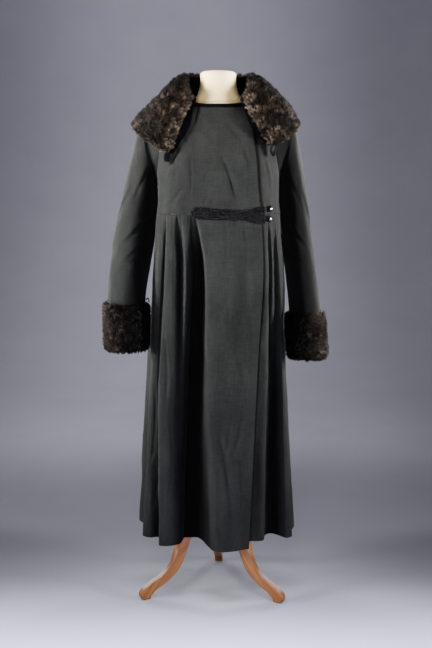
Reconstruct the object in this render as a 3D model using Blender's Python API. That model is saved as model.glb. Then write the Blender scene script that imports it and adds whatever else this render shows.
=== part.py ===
"""A long wool coat with a fur collar and fur cuffs, on a limbless dress form with a wooden tripod.

Metres, +Z up, the front of the coat faces -Y. The floor is z = 0. All shapes are worked out about the
centre of the form's neck, and the empty "coat_on_form" then carries them to the middle of the whole.
"""
import bmesh
import bpy
import numpy as np
from mathutils import Vector

# Driving sizes, in metres
WALL = 0.0020
SEAM = 0.0004
NECK_X = 0.0075
NECK_Y = -0.0265
WAIST_Z = 1.1000
UPPER_Z = 0.9600
MIDDLE_Z = 0.7200
HEM_Z = 0.1720
UNDERLAP_DROP = 0.0042
CUFF_WALL = 0.0130
CUFF_GAP = 0.0007
COLLAR_CLOTH = 0.0016
COLLAR_GAP = 0.0032
FUR_DEPTH = 0.0150
FUR_LIFT = 0.0006
SLEEVE_LIFT = 0.0008
BINDING_LIFT = 0.0008
BINDING_THICKNESS = 0.0014
CORD_RADIUS = 0.0016
BUTTON_RADIUS = 0.0046

# The bodice, ring by ring from the waist seam up to the neckline.
# half widths on -X and +X, depths to the front and back, squareness, height at the front, sides and back,
# and how far the dress form stands inside the cloth
BODY_LEVELS = (
    # name, left, right, front, back, square, z_front, z_side, z_back, form_inset
    ("waist", 0.1715, 0.1735, 0.150, 0.125, 3.8, 1.1000, 1.100, 1.100, 0.030),
    ("ribs", 0.1690, 0.1700, 0.150, 0.130, 3.8, 1.1400, 1.140, 1.140, 0.028),
    ("armhole foot", 0.1700, 0.1695, 0.149, 0.135, 3.8, 1.1820, 1.180, 1.180, 0.026),
    ("chest", 0.1760, 0.1730, 0.146, 0.139, 3.5, 1.2400, 1.243, 1.245, 0.022),
    ("upper chest", 0.1840, 0.1800, 0.134, 0.132, 3.1, 1.2970, 1.310, 1.310, 0.018),
    ("shoulder tip", 0.1840, 0.1810, 0.116, 0.105, 2.8, 1.3420, 1.366, 1.360, 0.010),
    ("shoulder", 0.1300, 0.1280, 0.101, 0.085, 2.6, 1.3760, 1.397, 1.393, 0.0040),
    ("neckline", 0.0790, 0.0790, 0.090, 0.072, 2.6, 1.3985, 1.424, 1.420, 0.0040),
)
ARMHOLE_FOOT = 2.0
ARMHOLE_TOP = 5.0
ARMHOLE_HALF_ANGLE = 31.0
OVERLAP_EDGE = ((0.0, 39.5), (2.0, 37.0), (4.0, 37.0), (5.0, 39.0), (6.0, 43.0), (7.0, 49.0))
UNDERLAP_EDGE = 6.0

# Fold lines of the skirt's right front, which laps over, from its free edge round to its side seam.
# A row is a crest or the bottom of a valley: its turn on the waist seam, then where it is lower down
RIGHT_FRONT_FOLDS = (
    # name, waist_turn, upper_x, upper_y, middle_x, middle_y, hem_x, hem_y
    ("free edge", 39.5, 0.1220, -0.154, 0.1100, -0.154, 0.0860, -0.160),
    ("panel right", 22.0, 0.0680, -0.159, 0.0580, -0.167, 0.0420, -0.188),
    ("panel middle", 3.0, 0.0120, -0.160, 0.0080, -0.167, 0.0060, -0.189),
    ("panel roll", -14.0, -0.0260, -0.158, -0.0260, -0.160, -0.0190, -0.168),
    ("panel edge", -20.2, -0.0375, -0.147, -0.0385, -0.140, -0.0360, -0.124),
    ("deep valley start", -22.4, -0.0420, -0.106, -0.0455, -0.091, -0.0560, -0.073),
    ("small gather", -24.7, -0.0560, -0.111, -0.0640, -0.087, -0.0800, -0.067),
    ("deep valley end", -26.8, -0.0690, -0.105, -0.0790, -0.086, -0.0990, -0.069),
    ("fold C inner side", -29.1, -0.0790, -0.131, -0.0840, -0.110, -0.1020, -0.098),
    ("fold C", -32.4, -0.0900, -0.139, -0.0955, -0.123, -0.1080, -0.122),
    ("valley B to C", -37.4, -0.1075, -0.104, -0.1110, -0.113, -0.1200, -0.131),
    ("fold B inner", -39.9, -0.1180, -0.133, -0.1205, -0.129, -0.1330, -0.137),
    ("fold B", -44.3, -0.1360, -0.134, -0.1410, -0.131, -0.1530, -0.138),
    ("fold B edge", -46.6, -0.1465, -0.122, -0.1615, -0.119, -0.1680, -0.127),
    ("valley A to B", -48.1, -0.1470, -0.097, -0.1600, -0.080, -0.1670, -0.070),
    ("fold A inner", -51.4, -0.1550, -0.105, -0.1710, -0.080, -0.1780, -0.060),
    ("fold A", -57.5, -0.1680, -0.096, -0.1850, -0.074, -0.2000, -0.063),
    ("fold A outer", -68.0, -0.1800, -0.062, -0.1900, -0.048, -0.2185, -0.043),
    ("side valley", -80.0, -0.1740, -0.022, -0.1830, 0.000, -0.2060, 0.024),
    ("side fold", -87.0, -0.1850, 0.016, -0.2050, 0.048, -0.2390, 0.098),
    ("side seam", -93.0, -0.1810, 0.044, -0.2030, 0.086, -0.2360, 0.144),
)

# Fold lines of the skirt's left front, which lies under, from its hidden edge round to its side seam
LEFT_FRONT_FOLDS = (
    # name, waist_turn, upper_x, upper_y, middle_x, middle_y, hem_x, hem_y
    ("hidden edge", 8.0, 0.0300, -0.1480, 0.0270, -0.143, 0.0120, -0.132),
    ("hidden middle", 24.0, 0.0760, -0.1480, 0.0690, -0.139, 0.0520, -0.116),
    ("strip left", 38.0, 0.1140, -0.1450, 0.1070, -0.131, 0.0900, -0.100),
    ("strip edge", 45.3, 0.1345, -0.1400, 0.1350, -0.124, 0.1265, -0.097),
    ("first valley", 46.6, 0.1375, -0.1180, 0.1380, -0.090, 0.1340, -0.056),
    ("narrow gather", 49.3, 0.1480, -0.1280, 0.1500, -0.078, 0.1460, -0.037),
    ("second valley", 52.8, 0.1560, -0.1050, 0.1620, -0.068, 0.1600, -0.036),
    ("fold E inner", 56.3, 0.1635, -0.1140, 0.1725, -0.078, 0.1840, -0.057),
    ("fold E", 60.0, 0.1715, -0.1080, 0.1790, -0.083, 0.1975, -0.068),
    ("fold E outer", 68.0, 0.1800, -0.0780, 0.1865, -0.058, 0.2140, -0.050),
    ("side valley", 77.0, 0.1770, -0.0340, 0.1800, -0.016, 0.2080, -0.018),
    ("side fold", 85.0, 0.1890, 0.0080, 0.1950, 0.024, 0.2240, 0.022),
    ("side seam", 93.0, 0.1860, 0.0400, 0.1930, 0.056, 0.2280, 0.076),
)

# The skirt's back hangs from its own gathers: one row for each valley, with a crest on either side
BACK_REACH = (
    # level, left, right, back, square
    ("upper", 0.1820, 0.1860, 0.148, 2.6),
    ("middle", 0.2080, 0.1980, 0.180, 2.4),
    ("hem", 0.2500, 0.2420, 0.236, 2.2),
)
BACK_SEAM_TURNS = ((93.0, 108.4), (267.0, 238.6))
BACK_VALLEYS = (
    # waist_turn, hem_turn, upper_depth, middle_depth, hem_depth
    (104.0, 117.0, 0.018, 0.026, 0.040),
    (119.0, 129.5, 0.012, 0.020, 0.030),
    (137.0, 144.0, 0.024, 0.036, 0.054),
    (154.0, 157.0, 0.012, 0.018, 0.028),
    (172.0, 170.5, 0.026, 0.040, 0.056),
    (189.0, 182.5, 0.014, 0.024, 0.036),
    (207.0, 195.5, 0.022, 0.034, 0.050),
    (224.0, 207.5, 0.012, 0.018, 0.026),
    (242.0, 220.5, 0.024, 0.036, 0.052),
    (258.0, 231.5, 0.012, 0.020, 0.026),
)

# Sleeves, ring by ring below the armhole: the ring's outer and inner points seen from the front
RIGHT_SLEEVE = (
    # name, outer_x, outer_z, inner_x, inner_z, half_depth, centre_y
    ("head", -0.2020, 1.362, -0.1722, 1.1780, 0.0810, 0.002),
    ("cap", -0.2200, 1.344, -0.1718, 1.1700, 0.0830, 0.001),
    ("crown", -0.2340, 1.315, -0.1712, 1.1590, 0.0820, 0.000),
    ("arm", -0.2460, 1.262, -0.1710, 1.1400, 0.0790, -0.003),
    ("biceps", -0.2590, 1.196, -0.1730, 1.1120, 0.0750, -0.007),
    ("over elbow", -0.2730, 1.138, -0.1758, 1.0800, 0.0720, -0.012),
    ("elbow", -0.2905, 1.050, -0.1800, 1.0200, 0.0690, -0.022),
    ("forearm", -0.3050, 0.966, -0.1905, 0.9550, 0.0660, -0.036),
    ("cuff", -0.3120, 0.862, -0.2050, 0.8580, 0.0640, -0.052),
    ("end", -0.3090, 0.732, -0.2075, 0.7320, 0.0600, -0.062),
)
LEFT_SLEEVE = (
    # name, outer_x, outer_z, inner_x, inner_z, half_depth, centre_y
    ("head", 0.1980, 1.362, 0.1716, 1.1780, 0.0810, 0.002),
    ("cap", 0.2130, 1.344, 0.1714, 1.1700, 0.0830, 0.001),
    ("crown", 0.2230, 1.315, 0.1712, 1.1590, 0.0820, 0.000),
    ("arm", 0.2345, 1.262, 0.1716, 1.1400, 0.0790, -0.003),
    ("biceps", 0.2440, 1.196, 0.1742, 1.1120, 0.0750, -0.007),
    ("over elbow", 0.2535, 1.138, 0.1778, 1.0800, 0.0720, -0.012),
    ("elbow", 0.2620, 1.050, 0.1812, 1.0200, 0.0690, -0.020),
    ("forearm", 0.2720, 0.966, 0.1865, 0.9550, 0.0660, -0.034),
    ("cuff", 0.2870, 0.840, 0.1990, 0.8360, 0.0640, -0.052),
    ("end", 0.2965, 0.710, 0.2060, 0.7100, 0.0600, -0.062),
)
CUFF_RIGHT_SPAN = (0.849, 0.721)
CUFF_LEFT_SPAN = (0.822, 0.699)

# The collar, station by station round the neck from the right front end to the left front end.
# seam: on the neckline; roll: top of the stand; fall: half way down; edge: its lower edge
COLLAR_STATIONS = (
    # seam_xyz, roll_xyz, fall_xyz, edge_xyz
    ((-0.062, -0.072, 1.4055), (-0.063, -0.075, 1.408), (-0.078, -0.121, 1.332), (-0.122, -0.1370, 1.260)),
    ((-0.069, -0.064, 1.4085), (-0.071, -0.068, 1.414), (-0.103, -0.118, 1.334), (-0.148, -0.1270, 1.268)),
    ((-0.076, -0.048, 1.4150), (-0.084, -0.052, 1.438), (-0.138, -0.105, 1.366), (-0.184, -0.1060, 1.291)),
    ((-0.079, -0.024, 1.4250), (-0.090, -0.024, 1.464), (-0.157, -0.078, 1.391), (-0.218, -0.0820, 1.316)),
    ((-0.080, 0.003, 1.4300), (-0.092, 0.006, 1.479), (-0.160, -0.012, 1.413), (-0.232, -0.0250, 1.344)),
    ((-0.071, 0.038, 1.4300), (-0.081, 0.046, 1.484), (-0.140, 0.062, 1.417), (-0.202, 0.0800, 1.348)),
    ((-0.040, 0.067, 1.4270), (-0.046, 0.078, 1.486), (-0.080, 0.112, 1.418), (-0.108, 0.1380, 1.332)),
    ((0.000, 0.077, 1.4260), (0.000, 0.089, 1.486), (0.000, 0.126, 1.416), (0.000, 0.1520, 1.326)),
    ((0.040, 0.067, 1.4270), (0.046, 0.078, 1.486), (0.080, 0.112, 1.418), (0.106, 0.1380, 1.332)),
    ((0.071, 0.038, 1.4300), (0.080, 0.046, 1.484), (0.144, 0.062, 1.420), (0.194, 0.0800, 1.348)),
    ((0.080, 0.003, 1.4300), (0.089, 0.006, 1.479), (0.161, -0.012, 1.418), (0.218, -0.0250, 1.345)),
    ((0.079, -0.024, 1.4250), (0.087, -0.024, 1.464), (0.156, -0.078, 1.397), (0.211, -0.0820, 1.322)),
    ((0.076, -0.048, 1.4150), (0.082, -0.052, 1.438), (0.131, -0.105, 1.370), (0.186, -0.1060, 1.304)),
    ((0.067, -0.066, 1.4085), (0.069, -0.070, 1.414), (0.098, -0.119, 1.346), (0.154, -0.1250, 1.283)),
    ((0.062, -0.072, 1.4055), (0.063, -0.075, 1.408), (0.083, -0.122, 1.342), (0.124, -0.1340, 1.288)),
)

# The dress form above the neckline and below the waist
NECK_RINGS = (
    # z, half_width, half_depth
    (1.4260, 0.0610, 0.0600),
    (1.4480, 0.0525, 0.0525),
    (1.4700, 0.0502, 0.0502),
    (1.4860, 0.0495, 0.0495),
    (1.4915, 0.0440, 0.0440),
)
HIP_RINGS = (
    # z, half_width, half_depth
    (1.060, 0.120, 0.092),
    (0.980, 0.118, 0.088),
    (0.900, 0.122, 0.088),
    (0.830, 0.118, 0.084),
    (0.812, 0.104, 0.072),
)

# The stand
STAND_X = -0.0115
STAND_Y = 0.0060
STAND_TURN = 3.7
FOOT_REACH = 0.2290
LEG_THICKNESS = 0.0240
HUB_RADIUS = 0.0360
HUB_SPAN = (0.190, 0.300)
COLUMN_RADIUS = 0.0160
WOOD_GAP = 0.0003
LEG_SECTIONS = (
    # reach from the column's middle, height of the leg's middle, depth of the leg
    (0.0364, 0.2520, 0.0640),
    (0.0600, 0.2340, 0.0560),
    (0.0850, 0.2000, 0.0460),
    (0.1010, 0.1590, 0.0380),
    (0.1130, 0.1180, 0.0320),
    (0.1310, 0.0810, 0.0280),
    (0.1620, 0.0530, 0.0255),
    (0.1960, 0.0345, 0.0260),
    (0.2160, 0.0205, 0.0310),
)
TOE_OUTLINE = (
    # reach past the foot's end, height: round the toe from its top to the flat of the foot
    (0.0015, 0.0280),
    (0.0080, 0.0175),
    (0.0075, 0.0070),
    (0.0015, 0.0),
    (-0.0200, 0.0),
)
FOOT_BACK = 0.0220


# Colours as linear values, roughness and metallic
MATERIALS = {
    "wool": ((0.050, 0.052, 0.050), 0.90, 0.0),
    "fur": ((0.045, 0.032, 0.024), 0.95, 0.0),
    "velvet": ((0.006, 0.006, 0.008), 0.85, 0.0),
    "braid": ((0.013, 0.013, 0.015), 0.75, 0.0),
    "silver": ((0.70, 0.69, 0.66), 0.25, 1.0),
    "jersey": ((0.82, 0.78, 0.62), 0.80, 0.0),
    "wood": ((0.42, 0.20, 0.08), 0.35, 0.0),
}


def clear_scene():
    for obj in list(bpy.data.objects):
        bpy.data.objects.remove(obj, do_unlink=True)


def material(name):
    """The named Principled material, made once."""
    if name in bpy.data.materials:
        return bpy.data.materials[name]
    colour, roughness, metallic = MATERIALS[name]
    made = bpy.data.materials.new(name)
    made.use_nodes = True
    shader = made.node_tree.nodes["Principled BSDF"]
    shader.inputs["Base Color"].default_value = (*colour, 1.0)
    shader.inputs["Roughness"].default_value = roughness
    shader.inputs["Metallic"].default_value = metallic
    return made


def place(obj, slot):
    """Puts an object in the coat's collection, under its empty, with its material."""
    obj.data.materials.append(material(slot))
    COAT.objects.link(obj)
    obj.parent = ROOT
    return obj


def through(keys, values, at):
    """A smooth curve through the values at the keys, read at the places asked for."""
    keys = np.asarray(keys, float)
    values = np.asarray(values, float)
    at = np.atleast_1d(np.asarray(at, float))
    slopes = np.gradient(values, keys, axis=0)
    low = np.clip(np.searchsorted(keys, at, side="right") - 1, 0, len(keys) - 2)
    step = keys[low + 1] - keys[low]
    t = (at - keys[low]) / step
    shape = (-1,) + (1,) * (values.ndim - 1)
    t = t.reshape(shape)
    step = step.reshape(shape)
    return (
        (2 * t**3 - 3 * t**2 + 1) * values[low]
        + (t**3 - 2 * t**2 + t) * step * slopes[low]
        + (3 * t**2 - 2 * t**3) * values[low + 1]
        + (t**3 - t**2) * step * slopes[low + 1]
    )


def smoothstep(low, high, value):
    t = np.clip((value - low) / (high - low), 0, 1)
    return t * t * (3 - 2 * t)


def oval_reach(turn, left, right, front, back, square):
    """Distance from the axis to a squared oval, at a turn in degrees from the front."""
    angle = np.radians(turn)
    side = np.where(np.sin(angle) < 0, left, right)
    depth = np.where(np.cos(angle) > 0, front, back)
    wide = np.abs(np.sin(angle) / side) ** square
    deep = np.abs(np.cos(angle) / depth) ** square
    return (wide + deep) ** (-1.0 / square)


def body_point(turn, level):
    """A point of the bodice's outer surface, at a turn in degrees and a level counted up from the waist."""
    rows = np.array([row[1:9] for row in BODY_LEVELS])
    turn = np.asarray(turn, float)
    level = np.broadcast_to(np.asarray(level, float), turn.shape)
    left, right, front, back, square, z_front, z_side, z_back = (
        through(range(len(rows)), rows, level.ravel()).T.reshape(8, *turn.shape)
    )
    reach = oval_reach(turn, left, right, front, back, square)
    angle = np.radians(turn)
    facing = np.cos(angle)
    end = np.where(facing > 0, z_front, z_back)
    z = z_side + (end - z_side) * (1 - np.sin(angle) ** 4)
    return np.stack([np.sin(angle) * reach, -facing * reach, z], axis=-1)


def grid_normals(grid):
    """Unit normals of a grid of points, facing away from the body for rows that climb and turns that grow."""
    along = np.gradient(grid, axis=1)
    up = np.gradient(grid, axis=0)
    normal = np.cross(along, up)
    return normal / np.maximum(np.linalg.norm(normal, axis=-1, keepdims=True), 1e-12)


def grid_object(name, grid, slot, closed=False):
    """An open sheet of quads over a grid of points, whose columns may close into a ring."""
    rows, columns = grid.shape[:2]
    last = columns if closed else columns - 1
    faces = []
    for r in range(rows - 1):
        for c in range(last):
            d = (c + 1) % columns
            faces.append((r * columns + c, r * columns + d, (r + 1) * columns + d, (r + 1) * columns + c))
    mesh = bpy.data.meshes.new(name)
    mesh.from_pydata([tuple(p) for p in grid.reshape(-1, 3)], [], faces)
    mesh.shade_smooth()
    return place(bpy.data.objects.new(name, mesh), slot)


def cloth(name, grid, normal, slot, closed=False):
    """A wall of even thickness inside a grid of outer points."""
    solid_between(name, grid, grid - normal * WALL, slot, closed)


def solid_between(name, outer, inner, slot, closed=False):
    """A closed solid between two grids of points with the same layout."""
    rows, columns = outer.shape[:2]
    count = rows * columns
    last = columns if closed else columns - 1
    faces = []

    def quad(a, b, c, d):
        faces.extend(((a, b, c), (a, c, d)))

    for r in range(rows - 1):
        for c in range(last):
            d = (c + 1) % columns
            corner = (r * columns + c, r * columns + d, (r + 1) * columns + d, (r + 1) * columns + c)
            quad(*corner)
            a, b, e, f = (count + i for i in corner)
            faces.extend(((a, e, b), (a, f, e)))
    for c in range(last):
        d = (c + 1) % columns
        quad(d, c, count + c, count + d)
        top = (rows - 1) * columns
        quad(top + c, top + d, count + top + d, count + top + c)
    if not closed:
        for r in range(rows - 1):
            low, high = r * columns, (r + 1) * columns
            quad(low, high, count + high, count + low)
            quad(high + columns - 1, low + columns - 1, count + low + columns - 1, count + high + columns - 1)
    mesh = bpy.data.meshes.new(name)
    points = np.concatenate([outer.reshape(-1, 3), inner.reshape(-1, 3)])
    mesh.from_pydata([tuple(p) for p in points], [], faces)
    mesh.shade_smooth()
    mesh.set_sharp_from_angle(angle=np.radians(50))
    return place(bpy.data.objects.new(name, mesh), slot)


def tube(name, points, radius, slot, resolution=1):
    """A cord with closed ends along a smooth route."""
    curve = bpy.data.curves.new(name, "CURVE")
    curve.dimensions = "3D"
    curve.bevel_depth = radius
    curve.bevel_resolution = resolution
    curve.use_fill_caps = True
    spline = curve.splines.new("POLY")
    spline.points.add(len(points) - 1)
    for node, point in zip(spline.points, points):
        node.co = (*point, 1.0)
    return place(bpy.data.objects.new(name, curve), slot)


# Bodice
ARMHOLE_LEVELS = 9
BODICE_STEP = 10.0


def body_normal(turn, level):
    """The outward direction at a point of the bodice's surface."""
    near = 0.01
    turn = np.asarray(turn, float)
    level = np.clip(np.broadcast_to(np.asarray(level, float), turn.shape), near, len(BODY_LEVELS) - 1 - near)
    along = body_point(turn + near, level) - body_point(turn - near, level)
    up = body_point(turn, level + near) - body_point(turn, level - near)
    normal = np.cross(along, up)
    return normal / np.linalg.norm(normal, axis=-1, keepdims=True)


def armhole_half_angle(level):
    """Half the armhole's width in degrees at a level, nothing outside it."""
    middle = (ARMHOLE_FOOT + ARMHOLE_TOP) / 2
    half = (ARMHOLE_TOP - ARMHOLE_FOOT) / 2
    return ARMHOLE_HALF_ANGLE * np.sqrt(np.clip(1 - ((level - middle) / half) ** 2, 0, None))


def bodice_levels():
    """Levels of the bodice's mesh rows, close together where the armhole bends."""
    middle = (ARMHOLE_FOOT + ARMHOLE_TOP) / 2
    half = (ARMHOLE_TOP - ARMHOLE_FOOT) / 2
    hole = middle - half * np.cos(np.linspace(0, np.pi, ARMHOLE_LEVELS))
    return np.concatenate([[0.0, 1.0], hole, [5.5, 6.0, 7.0]])


def bodice_panel(name, start, end, inset=None):
    """A panel of the bodice between two turns, each a function of the level."""
    levels = bodice_levels()
    first = np.array([start(level) for level in levels])
    last = np.array([end(level) for level in levels])
    columns = max(3, int(round(np.max(last - first) / BODICE_STEP)) + 1)
    share = np.linspace(0, 1, columns)
    turns = first[:, None] + (last - first)[:, None] * share[None, :]
    heights = np.broadcast_to(levels[:, None], turns.shape)
    grid = body_point(turns, heights)
    normal = body_normal(turns, heights)
    if inset is not None:
        grid = grid - normal * inset(turns)[..., None]
    grid[0, :, 2] += SEAM
    cloth(name, grid, normal, "wool")


def seam_turn(level):
    """Half a seam's gap, in degrees of turn."""
    return np.degrees(SEAM / body_reach_at_side(level))


def body_reach_at_side(level):
    return abs(body_point(np.array([90.0]), level)[0, 0])


def overlap_edge(level):
    keys, turns = zip(*OVERLAP_EDGE)
    return float(through(keys, turns, level)[0])


def underlap_inset(turn):
    """How far the left front lies inside the right front that covers it."""
    return UNDERLAP_DROP * (1 - smoothstep(52.0, 66.0, turn))


def make_bodice():
    bodice_panel("bodice_front_right", lambda v: -90 + armhole_half_angle(v) + seam_turn(v), overlap_edge)
    bodice_panel(
        "bodice_front_left",
        lambda v: UNDERLAP_EDGE,
        lambda v: 90 - armhole_half_angle(v) - seam_turn(v),
        underlap_inset,
    )
    bodice_panel(
        "bodice_back",
        lambda v: 90 + armhole_half_angle(v) + seam_turn(v),
        lambda v: 270 - armhole_half_angle(v) - seam_turn(v),
    )


# Skirt
SKIRT_LEVELS = (WAIST_Z, 1.045, UPPER_Z, 0.84, MIDDLE_Z, 0.54, 0.36, HEM_Z)
FOLD_KEYS = (WAIST_Z, UPPER_Z, MIDDLE_Z, HEM_Z)


def fold_levels(rows, inset=0.0):
    """Fold lines as points, indexed by level and row, at the waist, upper, middle and hem heights."""
    turns = np.array([row[1] for row in rows], float)
    waist = body_point(turns, 0.0)[:, :2]
    drop = inset * (1 - smoothstep(52.0, 66.0, turns))
    waist = waist * (1 - drop / np.linalg.norm(waist, axis=1))[:, None]
    lower = np.array([row[2:8] for row in rows]).reshape(len(rows), 3, 2)
    return np.concatenate([waist[:, None], lower], axis=1).transpose(1, 0, 2)


def alternate(crests, valleys):
    """Crests and valleys in turn, starting and ending on a crest."""
    both = np.empty(len(crests) + len(valleys))
    both[0::2] = crests
    both[1::2] = valleys
    return both


def back_fold_levels():
    """The back's crests and valleys as points, with the side seams' rows at both ends."""
    reach = {row[0]: row[1:] for row in BACK_REACH}
    valleys = np.array(BACK_VALLEYS)
    (waist_start, hem_start), (waist_end, hem_end) = BACK_SEAM_TURNS
    waist_turns = np.concatenate([[waist_start], valleys[:, 0], [waist_end]])
    hem_turns = np.concatenate([[hem_start], valleys[:, 1], [hem_end]])
    waist_crests = (waist_turns[1:] + waist_turns[:-1]) / 2
    hem_crests = (hem_turns[1:] + hem_turns[:-1]) / 2
    levels = [body_point(alternate(waist_crests, valleys[:, 0]), 0.0)[:, :2]]
    for name, column, share in (("upper", 2, 0.35), ("middle", 3, 0.7), ("hem", 4, 1.0)):
        left, right, back, square = reach[name]
        crests = waist_crests * (1 - share) + hem_crests * share
        bottoms = valleys[:, 0] * (1 - share) + valleys[:, 1] * share
        turns = alternate(crests, bottoms)
        depth = alternate(np.zeros(len(crests)), valleys[:, column])
        out = oval_reach(turns, left, right, back, back, square) - depth
        angle = np.radians(turns)
        levels.append(np.stack([np.sin(angle) * out, -np.cos(angle) * out], axis=-1))
    folds = np.stack(levels)
    right_side = fold_levels(LEFT_FRONT_FOLDS)[:, -1:]
    left_side = fold_levels(RIGHT_FRONT_FOLDS)[:, -1:]
    return np.concatenate([right_side, folds, left_side], axis=1)


def skirt_panel(name, folds, steps, start_seam, end_seam):
    """A skirt panel: rows up from the hem, columns along the smooth curve through the fold lines."""
    keys = np.array(FOLD_KEYS)[::-1]
    lines = through(keys, folds[::-1], np.array(SKIRT_LEVELS)[::-1])
    count = lines.shape[1]
    places = np.linspace(0, count - 1, (count - 1) * steps + 1)
    rows = []
    for z, line in zip(SKIRT_LEVELS[::-1], lines):
        row = through(np.arange(count), line, places)
        rows.append(np.column_stack([row, np.full(len(row), z)]))
    grid = np.array(rows)
    normal = grid_normals(grid)
    for end, neighbour, seam in ((0, 1, start_seam), (-1, -2, end_seam)):
        if not seam:
            continue
        outward = grid[:, end] * np.array([1.0, 1.0, 0.0])
        normal[:, end] = outward / np.linalg.norm(outward, axis=-1, keepdims=True)
        step = grid[:, neighbour] - grid[:, end]
        grid[:, end] += step / np.linalg.norm(step, axis=-1, keepdims=True) * SEAM
    grid[-1, :, 2] -= SEAM
    normal[-1, :, 2] = 0
    normal[-1] /= np.linalg.norm(normal[-1], axis=-1, keepdims=True)
    cloth(name, grid, normal, "wool")


def make_skirt():
    skirt_panel("skirt_front_right", fold_levels(RIGHT_FRONT_FOLDS)[:, ::-1], 2, True, False)
    skirt_panel("skirt_front_left", fold_levels(LEFT_FRONT_FOLDS, UNDERLAP_DROP), 2, False, True)
    skirt_panel("skirt_back", back_fold_levels(), 2, True, True)


# Sleeves and cuffs
SLEEVE_SIDES = 16


def armhole_ring(side):
    """The armhole's edge, from its foot round by the front and over its top."""
    around = np.linspace(0, 2 * np.pi, SLEEVE_SIDES, endpoint=False)
    middle = (ARMHOLE_FOOT + ARMHOLE_TOP) / 2
    half = (ARMHOLE_TOP - ARMHOLE_FOOT) / 2
    level = middle - half * np.cos(around)
    turn = side * (90 - ARMHOLE_HALF_ANGLE * np.sin(around))
    return body_point(turn, level) + body_normal(turn, level) * SLEEVE_LIFT


def sleeve_rings(rows, side):
    """The sleeve's outer rings from its lower end up to the armhole."""
    around = np.linspace(0, 2 * np.pi, SLEEVE_SIDES, endpoint=False)
    rings = [armhole_ring(side)]
    for _, outer_x, outer_z, inner_x, inner_z, half_depth, centre_y in rows:
        outer = np.array([outer_x, 0, outer_z])
        inner = np.array([inner_x, 0, inner_z])
        middle = (outer + inner) / 2 + np.array([0, centre_y, 0])
        across = (outer - inner) / 2
        ring = (
            middle
            - np.cos(around)[:, None] * across
            + np.sin(around)[:, None] * np.array([0, -half_depth, 0])
        )
        rings.append(ring)
    grid = np.array(rings)[::-1]
    return grid if side > 0 else grid[:, ::-1]


def ring_normals(grid):
    """Outward directions of a grid whose columns close into a ring."""
    along = np.roll(grid, -1, axis=1) - np.roll(grid, 1, axis=1)
    up = np.gradient(grid, axis=0)
    normal = np.cross(along, up)
    return normal / np.linalg.norm(normal, axis=-1, keepdims=True)


def sleeve_section(rows, z):
    """Middle and half sizes of the lower sleeve at each of the heights."""
    table = np.array([row[1:] for row in rows[6:]])[::-1]
    heights = (table[:, 1] + table[:, 3]) / 2
    outer_x, inner_x, half_depth, centre_y = (np.interp(z, heights, table[:, c]) for c in (0, 2, 4, 5))
    return (outer_x + inner_x) / 2, np.abs(outer_x - inner_x) / 2, half_depth, centre_y


def make_cuff(name, rows, span, tilt):
    """A turned-back band of fur round the sleeve's end: rounded edges, open inside."""
    top, bottom = span
    around = np.linspace(0, 2 * np.pi, SLEEVE_SIDES, endpoint=False)
    profile = (
        # share of the height, share of the fur's depth
        (0.00, 0.30),
        (0.07, 0.88),
        (0.50, 1.00),
        (0.93, 0.88),
        (1.00, 0.30),
    )
    outer_rings, inner_rings = [], []
    for share, depth in profile:
        level = bottom + (top - bottom) * share
        middle_x, half_width, half_depth, middle_y = sleeve_section(rows, level)
        z = level + tilt * np.cos(around) * half_width * share
        middle_x, half_width, half_depth, middle_y = sleeve_section(rows, z)
        for rings, grow in ((outer_rings, CUFF_GAP + CUFF_WALL * depth), (inner_rings, CUFF_GAP)):
            x = middle_x + np.cos(around) * (half_width + grow)
            y = middle_y + np.sin(around) * (half_depth + grow)
            rings.append(np.stack([x, y, z], axis=-1))
    solid_between(name, np.array(outer_rings), np.array(inner_rings), "fur", closed=True)


def make_sleeves():
    for name, rows, side in (("sleeve_right", RIGHT_SLEEVE, -1), ("sleeve_left", LEFT_SLEEVE, 1)):
        rings = sleeve_rings(rows, side)
        cloth(name, rings, ring_normals(rings), "wool", closed=True)
    make_cuff("cuff_right", RIGHT_SLEEVE, CUFF_RIGHT_SPAN, -0.04)
    make_cuff("cuff_left", LEFT_SLEEVE, CUFF_LEFT_SPAN, 0.04)


# Collar and neckline
COLLAR_STEPS = 2
BINDING_TURNS = (-46.0, 47.0)
BINDING_LEVELS = (6.45, 6.72, 6.96)
COLLAR_ROWS = (0.0, 0.5, 0.8, 1.0, 1.2, 1.5, 2.0, 2.5, 3.0)
FUR_FIRST_ROW = 3


def outside_body(points, gap):
    """Points moved straight out from the neck's axis where they would come nearer to the bodice than the gap."""
    flat = points.reshape(-1, 3).copy()
    turns = np.degrees(np.arctan2(flat[:, 0], -flat[:, 1]))
    levels = np.linspace(3.0, 7.0, 33)
    around, up = np.meshgrid(turns, levels, indexing="ij")
    body = body_point(around, up) + body_normal(around, up) * gap
    for point, profile in zip(flat, body):
        reach = np.hypot(point[0], point[1])
        least = np.interp(point[2], profile[:, 2], np.hypot(profile[:, 0], profile[:, 1]), right=0.0)
        point[:2] *= max(reach, least) / reach
    return flat.reshape(points.shape)


def collar_surface():
    """The collar's lining side: rows from the neckline over the roll to the lower edge, columns round the neck."""
    rails = np.array(COLLAR_STATIONS, float)
    places = np.linspace(0, len(rails) - 1, (len(rails) - 1) * COLLAR_STEPS + 1)
    stations = through(np.arange(len(rails)), rails, places)
    sheet = through(np.arange(4), stations.transpose(1, 0, 2), np.array(COLLAR_ROWS))
    return outside_body(sheet, COLLAR_GAP)


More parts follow.
